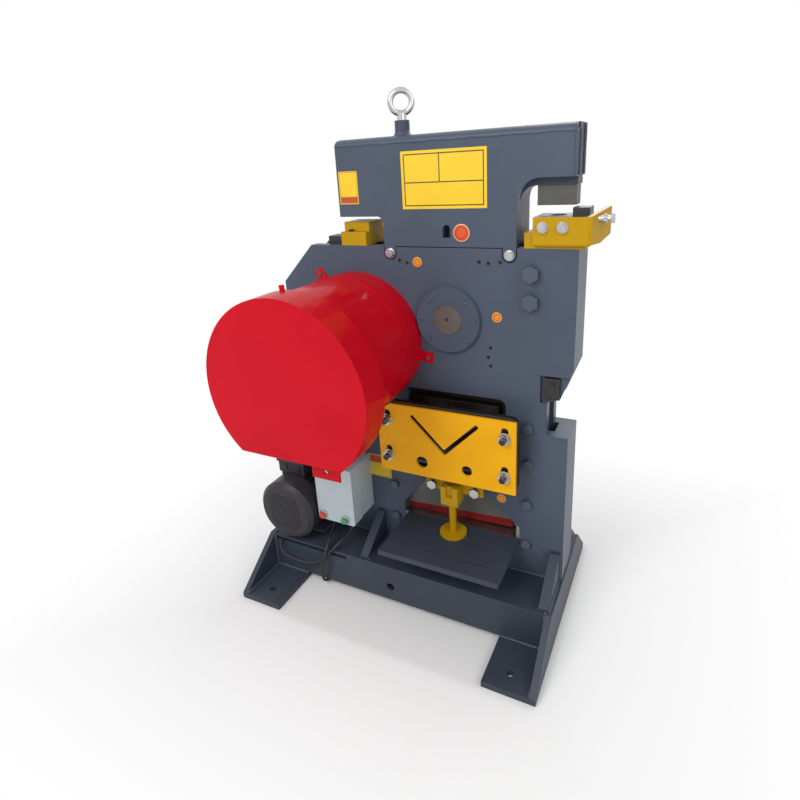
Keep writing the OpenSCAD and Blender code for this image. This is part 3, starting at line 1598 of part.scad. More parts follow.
base_frame();
gussets();
front_plate();
rear_plate();
guide_blocks();
frame_spacers();
frame_bolts();
shear_table();
lower_blade();
ram_slab();
ram_front_cheek();
ram_rear_cheek();
cheek_bolts();
lifting_eye();
punch_holder();
upper_blade();
eccentric_shaft();
slide_block();
shaft_bushes();
bearing_cap();
cover_screws();
bull_gear();
drive_shaft();
bearing_sleeve();
flywheel();
belt_pulley();
v_belts();
motor_plate();
motor_frame();
motor_rotor();
cooling_fan();
motor_pulley();
fan_cover();
terminal_box();
guard_drum();
guard_cap();
gear_guard();
belt_guard();
starter_box();
starter_cover();
start_button();
stop_button();
contactor();
cable_glands();
section_blade();
section_backing();
section_plate();
section_studs();
hold_down_bracket();
hold_down_stem();
clamp_bolts();
die_base();
die_block();
die_bracket();
die_adjuster();
notch_die();
notch_blocks();
motor_lead();
supply_lead();
supply_coil();
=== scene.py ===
import bpy
import numpy as np
from mathutils import Matrix, Vector


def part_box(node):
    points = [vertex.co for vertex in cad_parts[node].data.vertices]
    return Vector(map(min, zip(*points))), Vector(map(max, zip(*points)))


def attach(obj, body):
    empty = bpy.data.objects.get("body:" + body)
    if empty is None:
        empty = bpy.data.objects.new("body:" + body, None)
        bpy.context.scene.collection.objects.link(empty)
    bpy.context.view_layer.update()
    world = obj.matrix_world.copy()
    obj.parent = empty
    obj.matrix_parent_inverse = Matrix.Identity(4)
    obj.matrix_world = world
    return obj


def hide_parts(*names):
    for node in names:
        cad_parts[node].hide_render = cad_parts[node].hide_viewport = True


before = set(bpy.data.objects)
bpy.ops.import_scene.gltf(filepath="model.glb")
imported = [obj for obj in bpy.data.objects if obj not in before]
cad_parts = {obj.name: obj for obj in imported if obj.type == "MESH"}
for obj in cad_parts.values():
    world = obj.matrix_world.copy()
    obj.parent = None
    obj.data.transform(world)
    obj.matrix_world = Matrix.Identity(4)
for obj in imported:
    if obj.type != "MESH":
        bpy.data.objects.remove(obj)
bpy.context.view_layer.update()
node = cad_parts

# Studio: a pale floor under the machine and a white surround.
# The floor is a plain sheet that fades into the surround; a large soft lamp stands on the left, weaker ones
# on the right and behind.


def linear(red, green, blue, factor=1.0, lift=0.0):
    """Linear light of an sRGB colour given in 0 to 255: the standard curve, a straight part and a power.

    The light is multiplied by a factor and raised by a lift, to 1 at most.
    """
    share = np.array([red, green, blue]) / 255
    light = np.where(share <= 0.04045, share / 12.92, ((share + 0.055) / 1.055) ** 2.4)
    return (*np.minimum(light * factor + lift, 1).tolist(), 1.0)


def feed(socket, value):
    """Links a wire to a socket, or writes a plain value on it."""
    if isinstance(value, Wire):
        value.plug(socket)
    else:
        socket.default_value = value


class Wire:
    """A shader socket that can be calculated with: each operator adds the Math node for it."""

    def __init__(self, tree, socket):
        self.tree, self.socket = tree, socket

    def plug(self, target):
        """Links this socket to the input of another node."""
        self.tree.links.new(self.socket, target)

    def _math(self, operation, first, second):
        """A Math node on two values or wires."""
        made = self.tree.nodes.new("ShaderNodeMath")
        made.operation = operation
        for socket, value in zip(made.inputs, (first, second)):
            feed(socket, value)
        return Wire(self.tree, made.outputs[0])

    def __add__(self, other):
        return self._math("ADD", self, other)

    __radd__ = __add__

    def __sub__(self, other):
        return self._math("SUBTRACT", self, other)

    def __rsub__(self, other):
        return self._math("SUBTRACT", other, self)

    def __mul__(self, other):
        return self._math("MULTIPLY", self, other)

    __rmul__ = __mul__

    def __abs__(self):
        return self._math("ABSOLUTE", self, 0.0)

    def __lt__(self, other):
        return self._math("LESS_THAN", self, other)

    def __gt__(self, other):
        return self._math("GREATER_THAN", self, other)

    def most(self, other):
        """The larger of two."""
        return self._math("MAXIMUM", self, other)

    def least(self, other):
        """The smaller of two."""
        return self._math("MINIMUM", self, other)

    def held(self):
        """The value kept between 0 and 1."""
        return self.most(0.0).least(1.0)


class Shading:
    """A tree of shader nodes. node() adds any node that isn't plain arithmetic."""

    def __init__(self, tree):
        self.tree = tree

    def node(self, kind, settings=None, values=None, out=0):
        """One node of a kind: its settings first, then a value or a wire for each named socket."""
        made = self.tree.nodes.new("ShaderNode" + kind)
        for label, value in (settings or {}).items():
            setattr(made, label, value)
        for label, value in (values or {}).items():
            feed(made.inputs[label], value)
        return Wire(self.tree, made.outputs[out])

    def seen_white(self):
        """1 where the camera, a mirror or glass looks at the surface, 0 for its light on other things."""
        rays = [self.node("LightPath", out=f"Is {kind} Ray") for kind in ("Camera", "Glossy", "Transmission")]
        return rays[0].most(rays[1]).most(rays[2])


class Finish(Shading):
    """A material made of expressions that feed its Principled shader."""

    corner_rays = 6
    right_angle_gain = 3.4

    def __init__(self, name, **constants):
        self.material = bpy.data.materials.new(name)
        self.material.use_nodes = True
        super().__init__(self.material.node_tree)
        self.shader = self.tree.nodes["Principled BSDF"]
        self.end = self.tree.nodes["Material Output"].inputs["Surface"]
        self.give(**constants)

    def give(self, **values):
        """Feeds the shader's sockets, named with underscores, and returns the material."""
        for label, value in values.items():
            feed(self.shader.inputs[label.replace("_", " ").title().replace("Ior", "IOR")], value)
        return self.material

    def along(self, axis):
        """One Object coordinate in metres: X, Y or Z."""
        return self.node("SeparateXYZ", values={"Vector": self.node("TexCoord", out="Object")}, out=axis)

    def place(self, scale=(1, 1, 1)):
        """Object coordinates in metres, stretched by a Mapping node."""
        at = self.node("TexCoord", out="Object")
        return self.node("Mapping", values={"Vector": at, "Scale": scale})

    def noise(self, size, detail=3.0, rough=0.55, at=None):
        """Cloudy noise from 0 to 1 whose patches are about size metres wide."""
        values = {"Vector": at or self.place(), "Scale": 1 / size, "Detail": detail, "Roughness": rough}
        return self.node("TexNoise", values=values)

    def rounded(self, radius):
        """The normal as if all edges were rounded by radius."""
        return self.node("Bevel", {"samples": self.corner_rays}, {"Radius": radius})

    def edge(self, radius):
        """0 on a flat face, rising to 1 within radius of an edge: how far a rounded normal leans away."""
        normals = {0: self.rounded(radius), 1: self.node("NewGeometry", out="Normal")}
        upright = self.node("VectorMath", {"operation": "DOT_PRODUCT"}, normals, "Value")
        return (1 - upright) * self.right_angle_gain

    def mix(self, share, first, second):
        """Colour between first and second, which are sockets 6 and 7 of the node's colour form."""
        return self.node("Mix", {"data_type": "RGBA"}, {0: share, 6: first, 7: second}, 2)

    def relief(self, height, depth, radius):
        """Normal of a surface whose edges are rounded by radius and whose relief is depth metres high."""
        values = {"Strength": 1.0, "Distance": depth, "Height": height, "Normal": self.rounded(radius)}
        return self.node("Bump", values=values)


def dress(material, *names):
    """Gives CAD pieces their finish."""
    for name in names:
        node[name].material_slots[0].material = material


floor_size, floor_drop = 14.0, 0.0006
span = np.linspace(-floor_size / 2, floor_size / 2, 2)
corner_x, corner_y = np.meshgrid(span, span)
floor_points = np.c_[corner_x.ravel(), corner_y.ravel(), np.full(4, -floor_drop)]
floor_mesh = bpy.data.meshes.new("studio_floor")
floor_mesh.from_pydata(floor_points.tolist(), [], [(0, 1, 3, 2)])
studio_floor = bpy.data.objects.new("studio_floor", floor_mesh)
bpy.context.scene.collection.objects.link(studio_floor)
floor_paint = Finish("floor_paint", roughness=0.75, specular_ior_level=0.0)
floor_tone = floor_paint.noise(1.5)
floor_paint.give(base_color=floor_paint.mix(floor_tone, (0.83, 0.83, 0.83, 1), (0.87, 0.87, 0.87, 1)))

# The floor turns white with its distance from the base's outline; under the base it stays as it is.
base_x, base_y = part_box("base_frame")[1][:2]
white_start, white_slope = 0.25, 40
floor_way = (abs(floor_paint.along("X")) - base_x).most(abs(floor_paint.along("Y")) - base_y)
fade = floor_paint.seen_white() * (white_start + floor_way).held() * (floor_way * white_slope).held()
lit = Wire(floor_paint.tree, floor_paint.shader.outputs[0])
white = floor_paint.node("Emission", values={"Color": (1, 1, 1, 1), "Strength": 1.0})
floor_paint.node("MixShader", values={0: fade, 1: lit, 2: white}).plug(floor_paint.end)
floor_mesh.materials.append(floor_paint.material)

surround = bpy.data.worlds.new("surround")
bpy.context.scene.world = surround
surround.use_nodes = True
sky, sky_light = Shading(surround.node_tree), 0.5
backdrop = sky.tree.nodes["Background"].inputs
backdrop["Color"].default_value = (1, 1, 1, 1)
(sky.seen_white() * (1 - sky_light) + sky_light).plug(backdrop["Strength"])


def lamp(name, place, aim, size, power):
    """A square soft lamp at place that looks at aim."""
    light = bpy.data.lights.new(name, "AREA")
    light.shape, light.size, light.energy = "SQUARE", size, power
    made = bpy.data.objects.new(name, light)
    bpy.context.scene.collection.objects.link(made)
    made.rotation_euler = (Vector(aim) - Vector(place)).to_track_quat("-Z", "Y").to_euler()
    made.location = place


lamp("key_lamp", (-0.7, -3.0, 3.2), aim=(0, 0, 0.8), size=1.8, power=78)
lamp("fill_lamp", (2.8, -1.6, 2.4), aim=(0, 0, 1.0), size=2.2, power=26)
lamp("rear_lamp", (0.6, 2.8, 3.0), aim=(0, 0, 0.9), size=2.0, power=45)

# The camera stands where the photograph was taken from.
camera_at, camera_right = (0.7920, -1.5408, 1.4611), Vector((0.893, 0.447, -0.054))
camera_ahead = Vector((-0.440, 0.839, -0.320))
sensor, focal, shift = 36, 25.203, (-0.0041, -0.0611)
camera_up = camera_right.cross(camera_ahead).normalized()
level = camera_ahead.cross(camera_up).normalized()
stand = Matrix((level, camera_up, -camera_ahead.normalized())).transposed().to_4x4()
stand.translation = camera_at
lens = bpy.data.cameras.new("camera")
lens.sensor_width, lens.lens = sensor, focal
lens.shift_x, lens.shift_y = shift
camera = bpy.data.objects.new("camera", lens)
bpy.context.scene.collection.objects.link(camera)
camera.matrix_world = stand
bpy.context.scene.camera = camera
bpy.context.scene.view_settings.view_transform = "Standard"

# Leads: black rubber cable, 9 mm thick, with four cores.
# One runs from the motor down into the beam and out through its slit to the starter box. The supply
# lead drops from the box in front of the beam; its spare length lies coiled under the beam in a tie.


def mesh_piece(name, points, faces, body, material, slot, smooth=True):
    """A new piece from an array of points and of faces, riding on a body."""
    mesh = bpy.data.meshes.new(name)
    mesh.from_pydata(np.asarray(points, float).tolist(), [], [list(map(int, f)) for f in faces])
    mesh.polygons.foreach_set("use_smooth", np.full(len(mesh.polygons), smooth))
    mesh.materials.append(material)
    mesh.update()
    made = bpy.data.objects.new(name, mesh)
    bpy.context.scene.collection.objects.link(made)
    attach(made, body)
    return made


def strip(rows, columns, closed_rows=False):
    """Quads between rows of points, each row a loop; closed rows join the last row to the first."""
    i = np.arange(rows if closed_rows else rows - 1)
    i, k = (a.ravel() for a in np.meshgrid(i, np.arange(columns), indexing="ij"))
    down, next_k = (i + 1) % rows, (k + 1) % columns
    return np.c_[i * columns + k, down * columns + k, down * columns + next_k, i * columns + next_k]


def smooth_path(points, steps=10):
    """A curve through the points: between two of them a cubic whose slopes point along their neighbours."""
    p = np.asarray(points, float)
    a, b, c, d = np.r_[p[:1], p[:-2]], p[:-1], p[1:], np.r_[p[2:], p[-1:]]
    t = (np.arange(steps) / steps)[None, :, None]
    a, b, c, d = (x[:, None] for x in (a, b, c, d))
    curve = b + (c - a) * t / 2 + (2 * a - 5 * b + 4 * c - d) * t**2 / 2 + (3 * b - a - 3 * c + d) * t**3 / 2
    return np.r_[curve.reshape(-1, 3), p[-1:]]


def swept(path, radii, sides=14, lean=(0.31, 0.52, 0.79)):
    """Points and faces of a tube: circles of the given radii, square to the path, with flat ends."""
    path = np.asarray(path, float)
    along = np.gradient(path, axis=0)
    along /= np.linalg.norm(along, axis=1, keepdims=True)
    out = np.asarray(lean) - along * (along @ np.asarray(lean))[:, None]
    out /= np.linalg.norm(out, axis=1, keepdims=True)
    side = np.cross(along, out)
    turn = np.linspace(0, 2 * np.pi, sides, endpoint=False)
    radii = np.broadcast_to(np.asarray(radii, float), (len(path),))[:, None, None]
    ring = out[:, None] * np.cos(turn)[None, :, None] + side[:, None] * np.sin(turn)[None, :, None]
    points = (path[:, None] + ring * radii).reshape(-1, 3)
    walls = strip(len(path), sides)[:, ::-1].tolist()
    last = (len(path) - 1) * sides
    return points, walls + [list(range(sides))[::-1], [last + k for k in range(sides)]]


rubber = Finish("black_rubber")
rubber_dust = rubber.noise(0.03, 4)
black_rubber = rubber.give(
    base_color=rubber.mix(rubber_dust, (0.006, 0.006, 0.007, 1), (0.035, 0.034, 0.033, 1)),
    roughness=0.45 + rubber_dust * 0.3,
    normal=rubber.relief(rubber.noise(0.002), 0.0002, 0.0005),
)
lead_d = 0.009
motor_points = [
    (-388, -70, 418), (-368, -70, 418), (-348, -68, 413), (-333, -63, 399), (-326, -55, 377),
    (-320, -41, 342), (-313, -25, 302), (-306, -8, 257), (-303, 8, 212), (-302, 17, 178),
    (-302, 18, 153), (-306, 14, 129), (-318, 4, 111), (-336, -12, 104), (-364, -37, 103),
    (-400, -69, 107), (-434, -102, 117), (-458, -130, 129), (-471, -158, 136), (-475, -184, 138.5),
    (-470, -207, 134), (-454, -223, 123), (-427, -228, 109), (-392, -224, 98), (-352, -216, 92),
    (-312, -208, 100), (-275, -203, 130), (-247, -197, 161), (-230, -179, 181), (-219, -150, 190),
    (-212, -121, 198), (-210, -101, 217), (-210, -92, 248), (-210, -92, 268),
]
motor_path = smooth_path(motor_points) / 1000
motor_cable = mesh_piece("motor_cable", *swept(motor_path, lead_d / 2), "frame", black_rubber, "black_rubber")
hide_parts("motor_lead")

supply_points = [
    (-285, -92, 268), (-285, -92, 248), (-286, -100, 224), (-284, -117, 206), (-278, -143, 195),
    (-271, -172, 186), (-266, -198, 169), (-267, -214, 143), (-273, -219, 110), (-281, -218, 78),
    (-287, -214, 51), (-290, -204, 26), (-291, -185, 9), (-291, -160, 5), (-284, -132, 4.7),
    (-262, -105, 4.5), (-218, -84, 4.5),
]

# The coil's sizes in millimetres, then its start in degrees, turns inward, climb in turns, and all turns.
coil_x, coil_r, coil_z, coil_pitch = -150, 65, 4.5, 11.5
coil_from, coil_inward, coil_climb, coil_turns = 283, 2, 0.35, 4
coil_run, coil_lead_in, turn_steps = 9, 18, 36


def coil_at(turn):
    """The coil's middle line at a number of turns: a spiral in, a climb by one layer and a spiral out."""
    turn = np.asarray(turn, float)
    outward = np.maximum(0, turn - coil_inward - coil_climb)
    radius = coil_r - coil_pitch * np.minimum(turn, coil_inward) + coil_pitch * outward
    angle = np.radians(coil_from + 360 * turn)
    lift = coil_z + coil_pitch * np.clip((turn - coil_inward) / coil_climb, 0, 1)
    return np.c_[coil_x + radius * np.cos(angle), radius * np.sin(angle), lift]


def coil_way(turn):
    """Direction of the coil's line at a number of turns, from two places close together."""
    near, far = coil_at([turn - 0.001, turn + 0.001])
    return (far - near) / np.linalg.norm(far - near)


supply_end = coil_at([0])[0] - coil_run * coil_way(0)
supply_run = [tuple(supply_end - k * coil_lead_in * coil_way(0)) for k in (2, 1, 0)]
coil_path = coil_at(np.linspace(0, coil_turns, turn_steps * coil_turns + 1))
coil_tip = coil_path[-1:] + coil_run * coil_way(coil_turns)
supply_path = np.r_[smooth_path(supply_points + supply_run), coil_path, coil_tip] / 1000
supply_cable = mesh_piece(
    "supply_cable", *swept(supply_path, lead_d / 2), "frame", black_rubber, "black_rubber"
)
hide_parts("supply_lead", "supply_coil")

core_r, core_l, core_sink, core_off = 0.0012, 0.028, 0.004, 0.0019
core_splay, core_bend, core_turn = 0.10, 1.4, 0.6
tip = supply_path[-1]
tip_way = (supply_path[-1] - supply_path[-2]) / np.linalg.norm(supply_path[-1] - supply_path[-2])
tip_side = np.cross(tip_way, (0, 0, 1))
core_colours = {"brown": (88, 52, 30), "black": (22, 22, 24), "grey": (120, 122, 124), "green": (70, 140, 40)}
for core_number, (core_name, core_colour) in enumerate(core_colours.items()):
    core = Finish("core_" + core_name, roughness=0.4)
    core_shade = linear(*(0.8 * np.array(core_colour)))
    core_skin = core.give(
        base_color=core.mix(core.noise(0.01), linear(*core_colour), core_shade),
        normal=core.relief(core.noise(0.001), 0.00005, 0.0003),
    )
    quarter = np.pi / 2 * core_number + core_turn
    spread = tip_side * np.cos(quarter) + np.array((0, 0, 1.0)) * np.sin(quarter)
    reach = np.linspace(-core_sink, core_l, 12)[:, None]
    core_path = tip + spread * (core_off + core_splay * np.maximum(reach, 0) ** core_bend) + tip_way * reach
    core_tube = swept(core_path, core_r, 10)
    mesh_piece("lead_core_" + core_name, *core_tube, "frame", core_skin, "black_rubber")

tie_y, tie_half_w, tie_z, tie_half_h, tie_low = 54, 19.5, 10.7, 11.5, 1.3
tie_r = 0.0011
tie_turn = np.linspace(0, 2 * np.pi, 25)
tie_side, tie_rise = tie_y + tie_half_w * np.cos(tie_turn), tie_z + tie_half_h * np.sin(tie_turn)
tie_path = np.c_[np.full(len(tie_turn), coil_x), tie_side, np.maximum(tie_rise, tie_low)] / 1000
tie_tube = swept(tie_path, tie_r, 8, lean=(1, 0, 0))
tie_nylon = Finish("tie_nylon", roughness=0.35)
tie_skin = tie_nylon.give(
    base_color=tie_nylon.mix(tie_nylon.noise(0.004), (0.02, 0.02, 0.02, 1), (0.05, 0.05, 0.05, 1)),
    normal=tie_nylon.relief(tie_nylon.noise(0.0012), 0.0001, 0.0004),
)
coil_tie = mesh_piece("coil_tie", *tie_tube, "frame", tie_skin, "black_plastic")

# Base: foot plates, end ribs and a folded beam, all thick steel plate.
# The plates are flame cut and welded, then the whole base is sprayed blue-grey; beads show under the paint.


def sprayed(
    name, colour, roughness, chips=1.0, peel=0.00025, coat=0.0, dull=0.75, bare=(96, 94, 90), shine=0.25
):
    """Spray paint: cloudy tone, orange-peel relief, dulled patches, and chipped edges down to the metal,
    lighter also as a painted edge highlight.
    """
    paint = Finish(name, coat_roughness=0.08, specular_ior_level=shine)
    cloud, scuff, grit = paint.noise(0.22, 4), paint.noise(0.012, 5, 0.7), paint.noise(0.0035, 2)
    # Edges go lighter towards the bare colour: partly chipped wear, partly a painted edge highlight.
    edge_wear_and_highlight = ((paint.edge(0.0035) + (scuff - 0.62) * 1.6) * chips).held() * ((scuff - 0.42) * 5).held()
    scratched = ((paint.noise(0.05, 6, 0.75) - 0.66) * 7 * chips).held() * 0.5
    tone = paint.mix(cloud, linear(*colour, dull), linear(*colour, 1.18, 0.004))
    tone = paint.mix(scratched, tone, linear(*colour, 1.35, 0.01))
    return paint.give(
        base_color=paint.mix(edge_wear_and_highlight * 0.75, tone, linear(*bare)),
        roughness=(roughness + (cloud - 0.5) * 0.22 + scratched * 0.25 + edge_wear_and_highlight * 0.15).held(),
        metallic=edge_wear_and_highlight * 0.5,
        coat_weight=(coat - scratched * coat).held() if coat else 0.0,
        normal=paint.relief(grit + cloud * 2 - edge_wear_and_highlight * 0.6, peel, 0.0016),
    )


frame_colour = (74, 84, 100)
frame_paint = sprayed("frame_paint", frame_colour, 0.40, chips=0.55)
# Painted shade: the base's paint is the frame's blue-grey darkened, as shade low on the machine; the shear
# table takes it too.
base_shaded_paint = sprayed("base_shaded_paint", (56, 63, 76), 0.44, chips=0.55)
dress(base_shaded_paint, "base_frame", "gussets")


def bead(path, radius, pitch=0.0042):
    """A weld bead: a tube whose radius swells at each ripple, with a little unevenness along its length."""
    path = np.asarray(path, float)
    length = np.r_[0, np.cumsum(np.linalg.norm(np.diff(path, axis=0), axis=1))]
    station = np.linspace(0, length[-1], max(8, int(length[-1] / pitch * 4)))
    fine = np.stack([np.interp(station, length, path[:, k]) for k in range(3)], axis=1)
    scale = 0.16 * np.abs(np.sin(np.pi * station / pitch))
    slow = 0.14 * np.sin(station * 61) * np.sin(station * 23 + 1)
    quick = 0.10 * np.sin(station * 430) * np.sin(station * 97)
    return swept(fine, radius * (0.9 + scale + (slow + quick)), 8)


def join(shapes):
    """Several shapes as one: points stacked, face numbers moved up by the points before."""
    points, faces, count = [], [], 0
    for shape_points, shape_faces in shapes:
        points.append(shape_points)
        faces += [[count + k for k in face] for face in shape_faces]
        count += len(shape_points)
    return np.vstack(points), faces


def line(x, y, z):
    """A path given in millimetres: each coordinate is one number for all its places, or one for each."""
    return np.stack(np.broadcast_arrays(x, y, z), axis=1) / 1000


weld_paint = sprayed(
    "weld_paint", (70, 79, 94), 0.34, chips=1.5, peel=0.0005, bare=(150, 152, 154), shine=0.4
)
rib_weld_r, beam_weld_r = 0.005, 0.0045

# Where the beads run, in millimetres: spans go along x or y, rises along z.
ends, rib_x, rib_z, beam_z, wall_front, wall_rear = (-1, 1), 509, 21, 156, -31, 107
rib_spans, rib_sides, rib_rise = ((-366, -191), (234, 366)), (-190, 233), (24, 152)
foot_span, foot_sides, foot_z = np.array((505, 370)), (-190.5, 233.5), 20.5
beam_end_x, beam_end_span = 510, (-188, 231)
gusset_xs, gusset_sides = (-120, 503), (-15.5, 15.5)
gusset_spans, gusset_rise = ((-180, -34), (110, 222)), (158, 261)
front_spans, rear_span = ((-288, -138), (-102, 484)), (-288, 524)
rib_runs = [line(end * rib_x, span, rib_z) for end in ends for span in rib_spans]
rib_runs += [line(end * rib_x, y, rib_rise) for end in ends for y in rib_sides]
beam_runs = [line(end * foot_span, y, foot_z) for end in ends for y in foot_sides]
beam_runs += [line(end * beam_end_x, beam_end_span, beam_z) for end in ends]
for x in np.add.outer(gusset_xs, gusset_sides).ravel():
    beam_runs += [line(x, span, beam_z) for span in gusset_spans]
    beam_runs += [line(x, y, gusset_rise) for y in (wall_front, wall_rear)]
beam_runs += [line(span, wall_front, beam_z) for span in front_spans]
beam_runs.append(line(rear_span, wall_rear, beam_z))
base_welds = [bead(run, rib_weld_r) for run in rib_runs] + [bead(run, beam_weld_r) for run in beam_runs]
mesh_piece("base_welds", *join(base_welds), "frame", weld_paint, "frame_paint")

# Frame: two plates 36 mm thick, held apart by distance pieces and bolted through.
# Guides of ground steel stand between them beside the ram; small set screws in the front plate adjust them.
bolt_paint = sprayed("bolt_paint", frame_colour, 0.36, chips=1.4, bare=(150, 151, 152), shine=0.4)
dress(frame_paint, "front_plate", "rear_plate", "frame_spacers")
dress(bolt_paint, "frame_bolts")


def machined(name, colour, roughness, grain=(1, 1, 60), film=0.5, rust=0.25):
    """Machined steel: tool marks stretched along one axis, oily film in clouds, brown specks on edges."""
    steel = Finish(name)
    marks = steel.noise(0.05, 4, 0.7, steel.place(grain))
    oil, speck = steel.noise(0.07, 4), steel.noise(0.006, 5, 0.7)
    rusty = ((steel.edge(0.003) * 0.6 + speck - 0.78) * 4 * rust).held()
    tone = steel.mix(marks, linear(*colour, 0.72), linear(*colour, 1.2))
    tone = steel.mix(oil * film, tone, linear(*colour, (0.55, 0.53, 0.48)))
    return steel.give(
        base_color=steel.mix(rusty, tone, linear(104, 66, 42)),
        roughness=(roughness + (marks - 0.5) * 0.25 + rusty * 0.4 - oil * film * 0.12).held(),
        metallic=1 - rusty * 0.8,
        normal=steel.relief(marks, 0.00012, 0.0012),
    )


bare_steel = machined("bare_steel", (150, 150, 148), 0.34)
zinc_steel = machined("zinc_steel", (196, 197, 196), 0.27, (1, 1, 1), 0.25, 0.1)
dark_steel = machined("dark_steel", (74, 73, 74), 0.46, (40, 1, 1), 0.6, 0.4)
forged_steel = machined("forged_steel", (128, 128, 122), 0.55, (1, 1, 30), 0.45, 0.6)
dress(bare_steel, "guide_blocks")


def lathe(profile, place, sides=32, axis="y", ring=False):
    """Points and faces of a turned piece: a profile of (radius, height) carried round an axis through place.

    A ring's profile is closed, so it has no end faces.
    """
    profile = np.asarray(profile, float)
    turn = np.linspace(0, 2 * np.pi, sides, endpoint=False)
    radius, height = profile[:, :1], np.broadcast_to(profile[:, 1:], (len(profile), sides))
    first, second = radius * np.cos(turn), radius * np.sin(turn)
    order = {"y": (first, -height, second), "z": (first, second, height)}[axis]
    points = np.stack(order, axis=2).reshape(-1, 3) + np.asarray(place, float)
    last = (len(profile) - 1) * sides
    caps = [] if ring else [list(range(sides))[::-1], [last + k for k in range(sides)]]
    return points / 1000, strip(len(profile), sides, closed_rows=ring)[:, ::-1].tolist() + caps


front_y = 1000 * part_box("front_plate")[0][1]
upper_screws = [(5, 1178), (30, 1171), (259, 1179), (286, 1176), (321, 1180)]
right_screws = [(292, 925), (285, 895), (292, 868)]
screw_form = [(6.0, 0), (6.0, 0.5), (5.6, 0.9), (4.4, 0.9), (3.0, 0.9), (2.6, 0)]
guide_screws = [lathe(screw_form, (x, front_y, z), 12) for x, z in upper_screws + right_screws]
mesh_piece("guide_screws", *join(guide_screws), "frame", dark_steel, "dark_steel", smooth=False)


def outline(centre, size, corner, steps=7):
    """A rectangle with round corners, seen from the front: four quarter circles joined by lines."""
    quarter = np.linspace(0, np.pi / 2, steps)
    angle = np.concatenate([quarter + k * np.pi / 2 for k in range(4)])
    sx = np.repeat([1, -1, -1, 1], steps) * (size[0] / 2 - corner)
    sz = np.repeat([1, 1, -1, -1], steps) * (size[1] / 2 - corner)
    return centre[0] + sx + corner * np.cos(angle), centre[1] + sz + corner * np.sin(angle)


def tablet(centre, size, thick, corner):
    """A thin plate with round corners that lies on the front face."""
    x, z = outline(centre, size, corner)
    n = len(x)
    points = np.r_[np.c_[x, np.full(n, front_y), z], np.c_[x, np.full(n, front_y - thick), z]] / 1000
    return points, strip(2, n)[:, ::-1].tolist() + [list(range(n)), [2 * n - 1 - k for k in range(n)]]


def label_print(name, centre, half, border, line_at, ground, ink, splits=(), band=None):
    """A printed label: flat ground colour, a border line at a distance from the rim and plain dividing lines.

    A band is a strip of solid ink between two heights. Its heights and the lines are shares of the half size.
    """
    label = Finish(name, coat_weight=0.25)
    x, z = label.along("X"), label.along("Z")
    rim = (half[0] / 1000 - abs(x - centre[0] / 1000)).least(half[1] / 1000 - abs(z - centre[1] / 1000))
    inside = rim > line_at / 1000
    printed = inside * (rim < (line_at + border) / 1000)
    for axis, share, low, high in splits:
        along, across = (x, z) if axis == "x" else (z, x)
        mid, other = (0, 1) if axis == "x" else (1, 0)
        near = abs(along - (centre[mid] + share * half[mid]) / 1000) < border / 2000
        span_low = across > (centre[other] + low * half[other]) / 1000
        span_high = across < (centre[other] + high * half[other]) / 1000
        printed = printed.most(near * span_low * span_high * inside)
    if band:
        band_low, band_high = ((centre[1] + share * half[1]) / 1000 for share in band)
        printed = printed.most((z > band_low) * (z < band_high) * inside)
    cloud, speck = label.noise(0.06, 4), label.noise(0.004, 5, 0.7)
    tone = label.mix(cloud, linear(*ground, (0.86, 0.84, 0.8)), linear(*ground))
    soiled = ((speck - 0.66) * 5).held() * 0.4
    return label.give(
        base_color=label.mix(soiled, label.mix(printed * 0.92, tone, linear(*ink)), linear(120, 105, 60)),
        roughness=0.32 + cloud * 0.15 + soiled * 0.3,
        normal=label.relief(cloud + speck * 0.2, 0.0004, 0.0004),
    )


def sign(name, body, centre, size, thick, corner, **look):
    """A printed plate on the front face: a tablet with its label."""
    printed = label_print(name + "_print", centre, (size[0] / 2, size[1] / 2), **look)
    mesh_piece(name, *tablet(centre, size, thick, corner), body, printed, "tool_paint", smooth=False)


def sticker_print(name, centre, rings, colours):
    """A round printed sticker: plain colours in rings round its centre."""
    label = Finish(name)
    x, z = label.along("X") - centre[0] / 1000, label.along("Z") - centre[1] / 1000
    far2 = x * x + z * z
    cloud = label.noise(0.01, 4)
    tone = linear(*colours[0])
    for radius, colour in zip(rings, colours[1:]):
        tone = label.mix(far2 > (radius / 1000) ** 2, tone, linear(*colour))
    return label.give(
        base_color=label.mix(cloud * 0.25, tone, linear(90, 60, 40)),
        roughness=0.3 + cloud * 0.2,
        normal=label.relief(cloud, 0.0002, 0.0003),
    )


def sticker(name, body, centre, radius, thick, rings, colours):
    """A round sticker on the front face: a turned sheet with a softly rounded rim, printed in rings."""
    form = [(radius, 0), (radius, thick * 0.6), (radius - thick, thick), (radius * 0.5, thick)]
    printed = sticker_print(name + "_print", centre, rings, colours)
    mesh_piece(name, *lathe(form, (centre[0], front_y, centre[1]), 40), body, printed, "tool_paint")


sign(
    "body_label", "frame", (-119, 441.5), (88, 85), thick=0.5, corner=3,
    border=1.6, line_at=2.5, ground=(226, 200, 30), ink=(170, 18, 24), band=(0.27, 1),
)
dot_rings, dot_colours = (8.5, 11.5), ((236, 150, 40), (214, 60, 24), (240, 176, 60))
for dot_name, dot in {"upper": (64, 1174), "middle": (311, 1020), "lower": (326, 416)}.items():
    sticker("oil_dot_" + dot_name, "frame", dot, 15, thick=0.5, rings=dot_rings, colours=dot_colours)
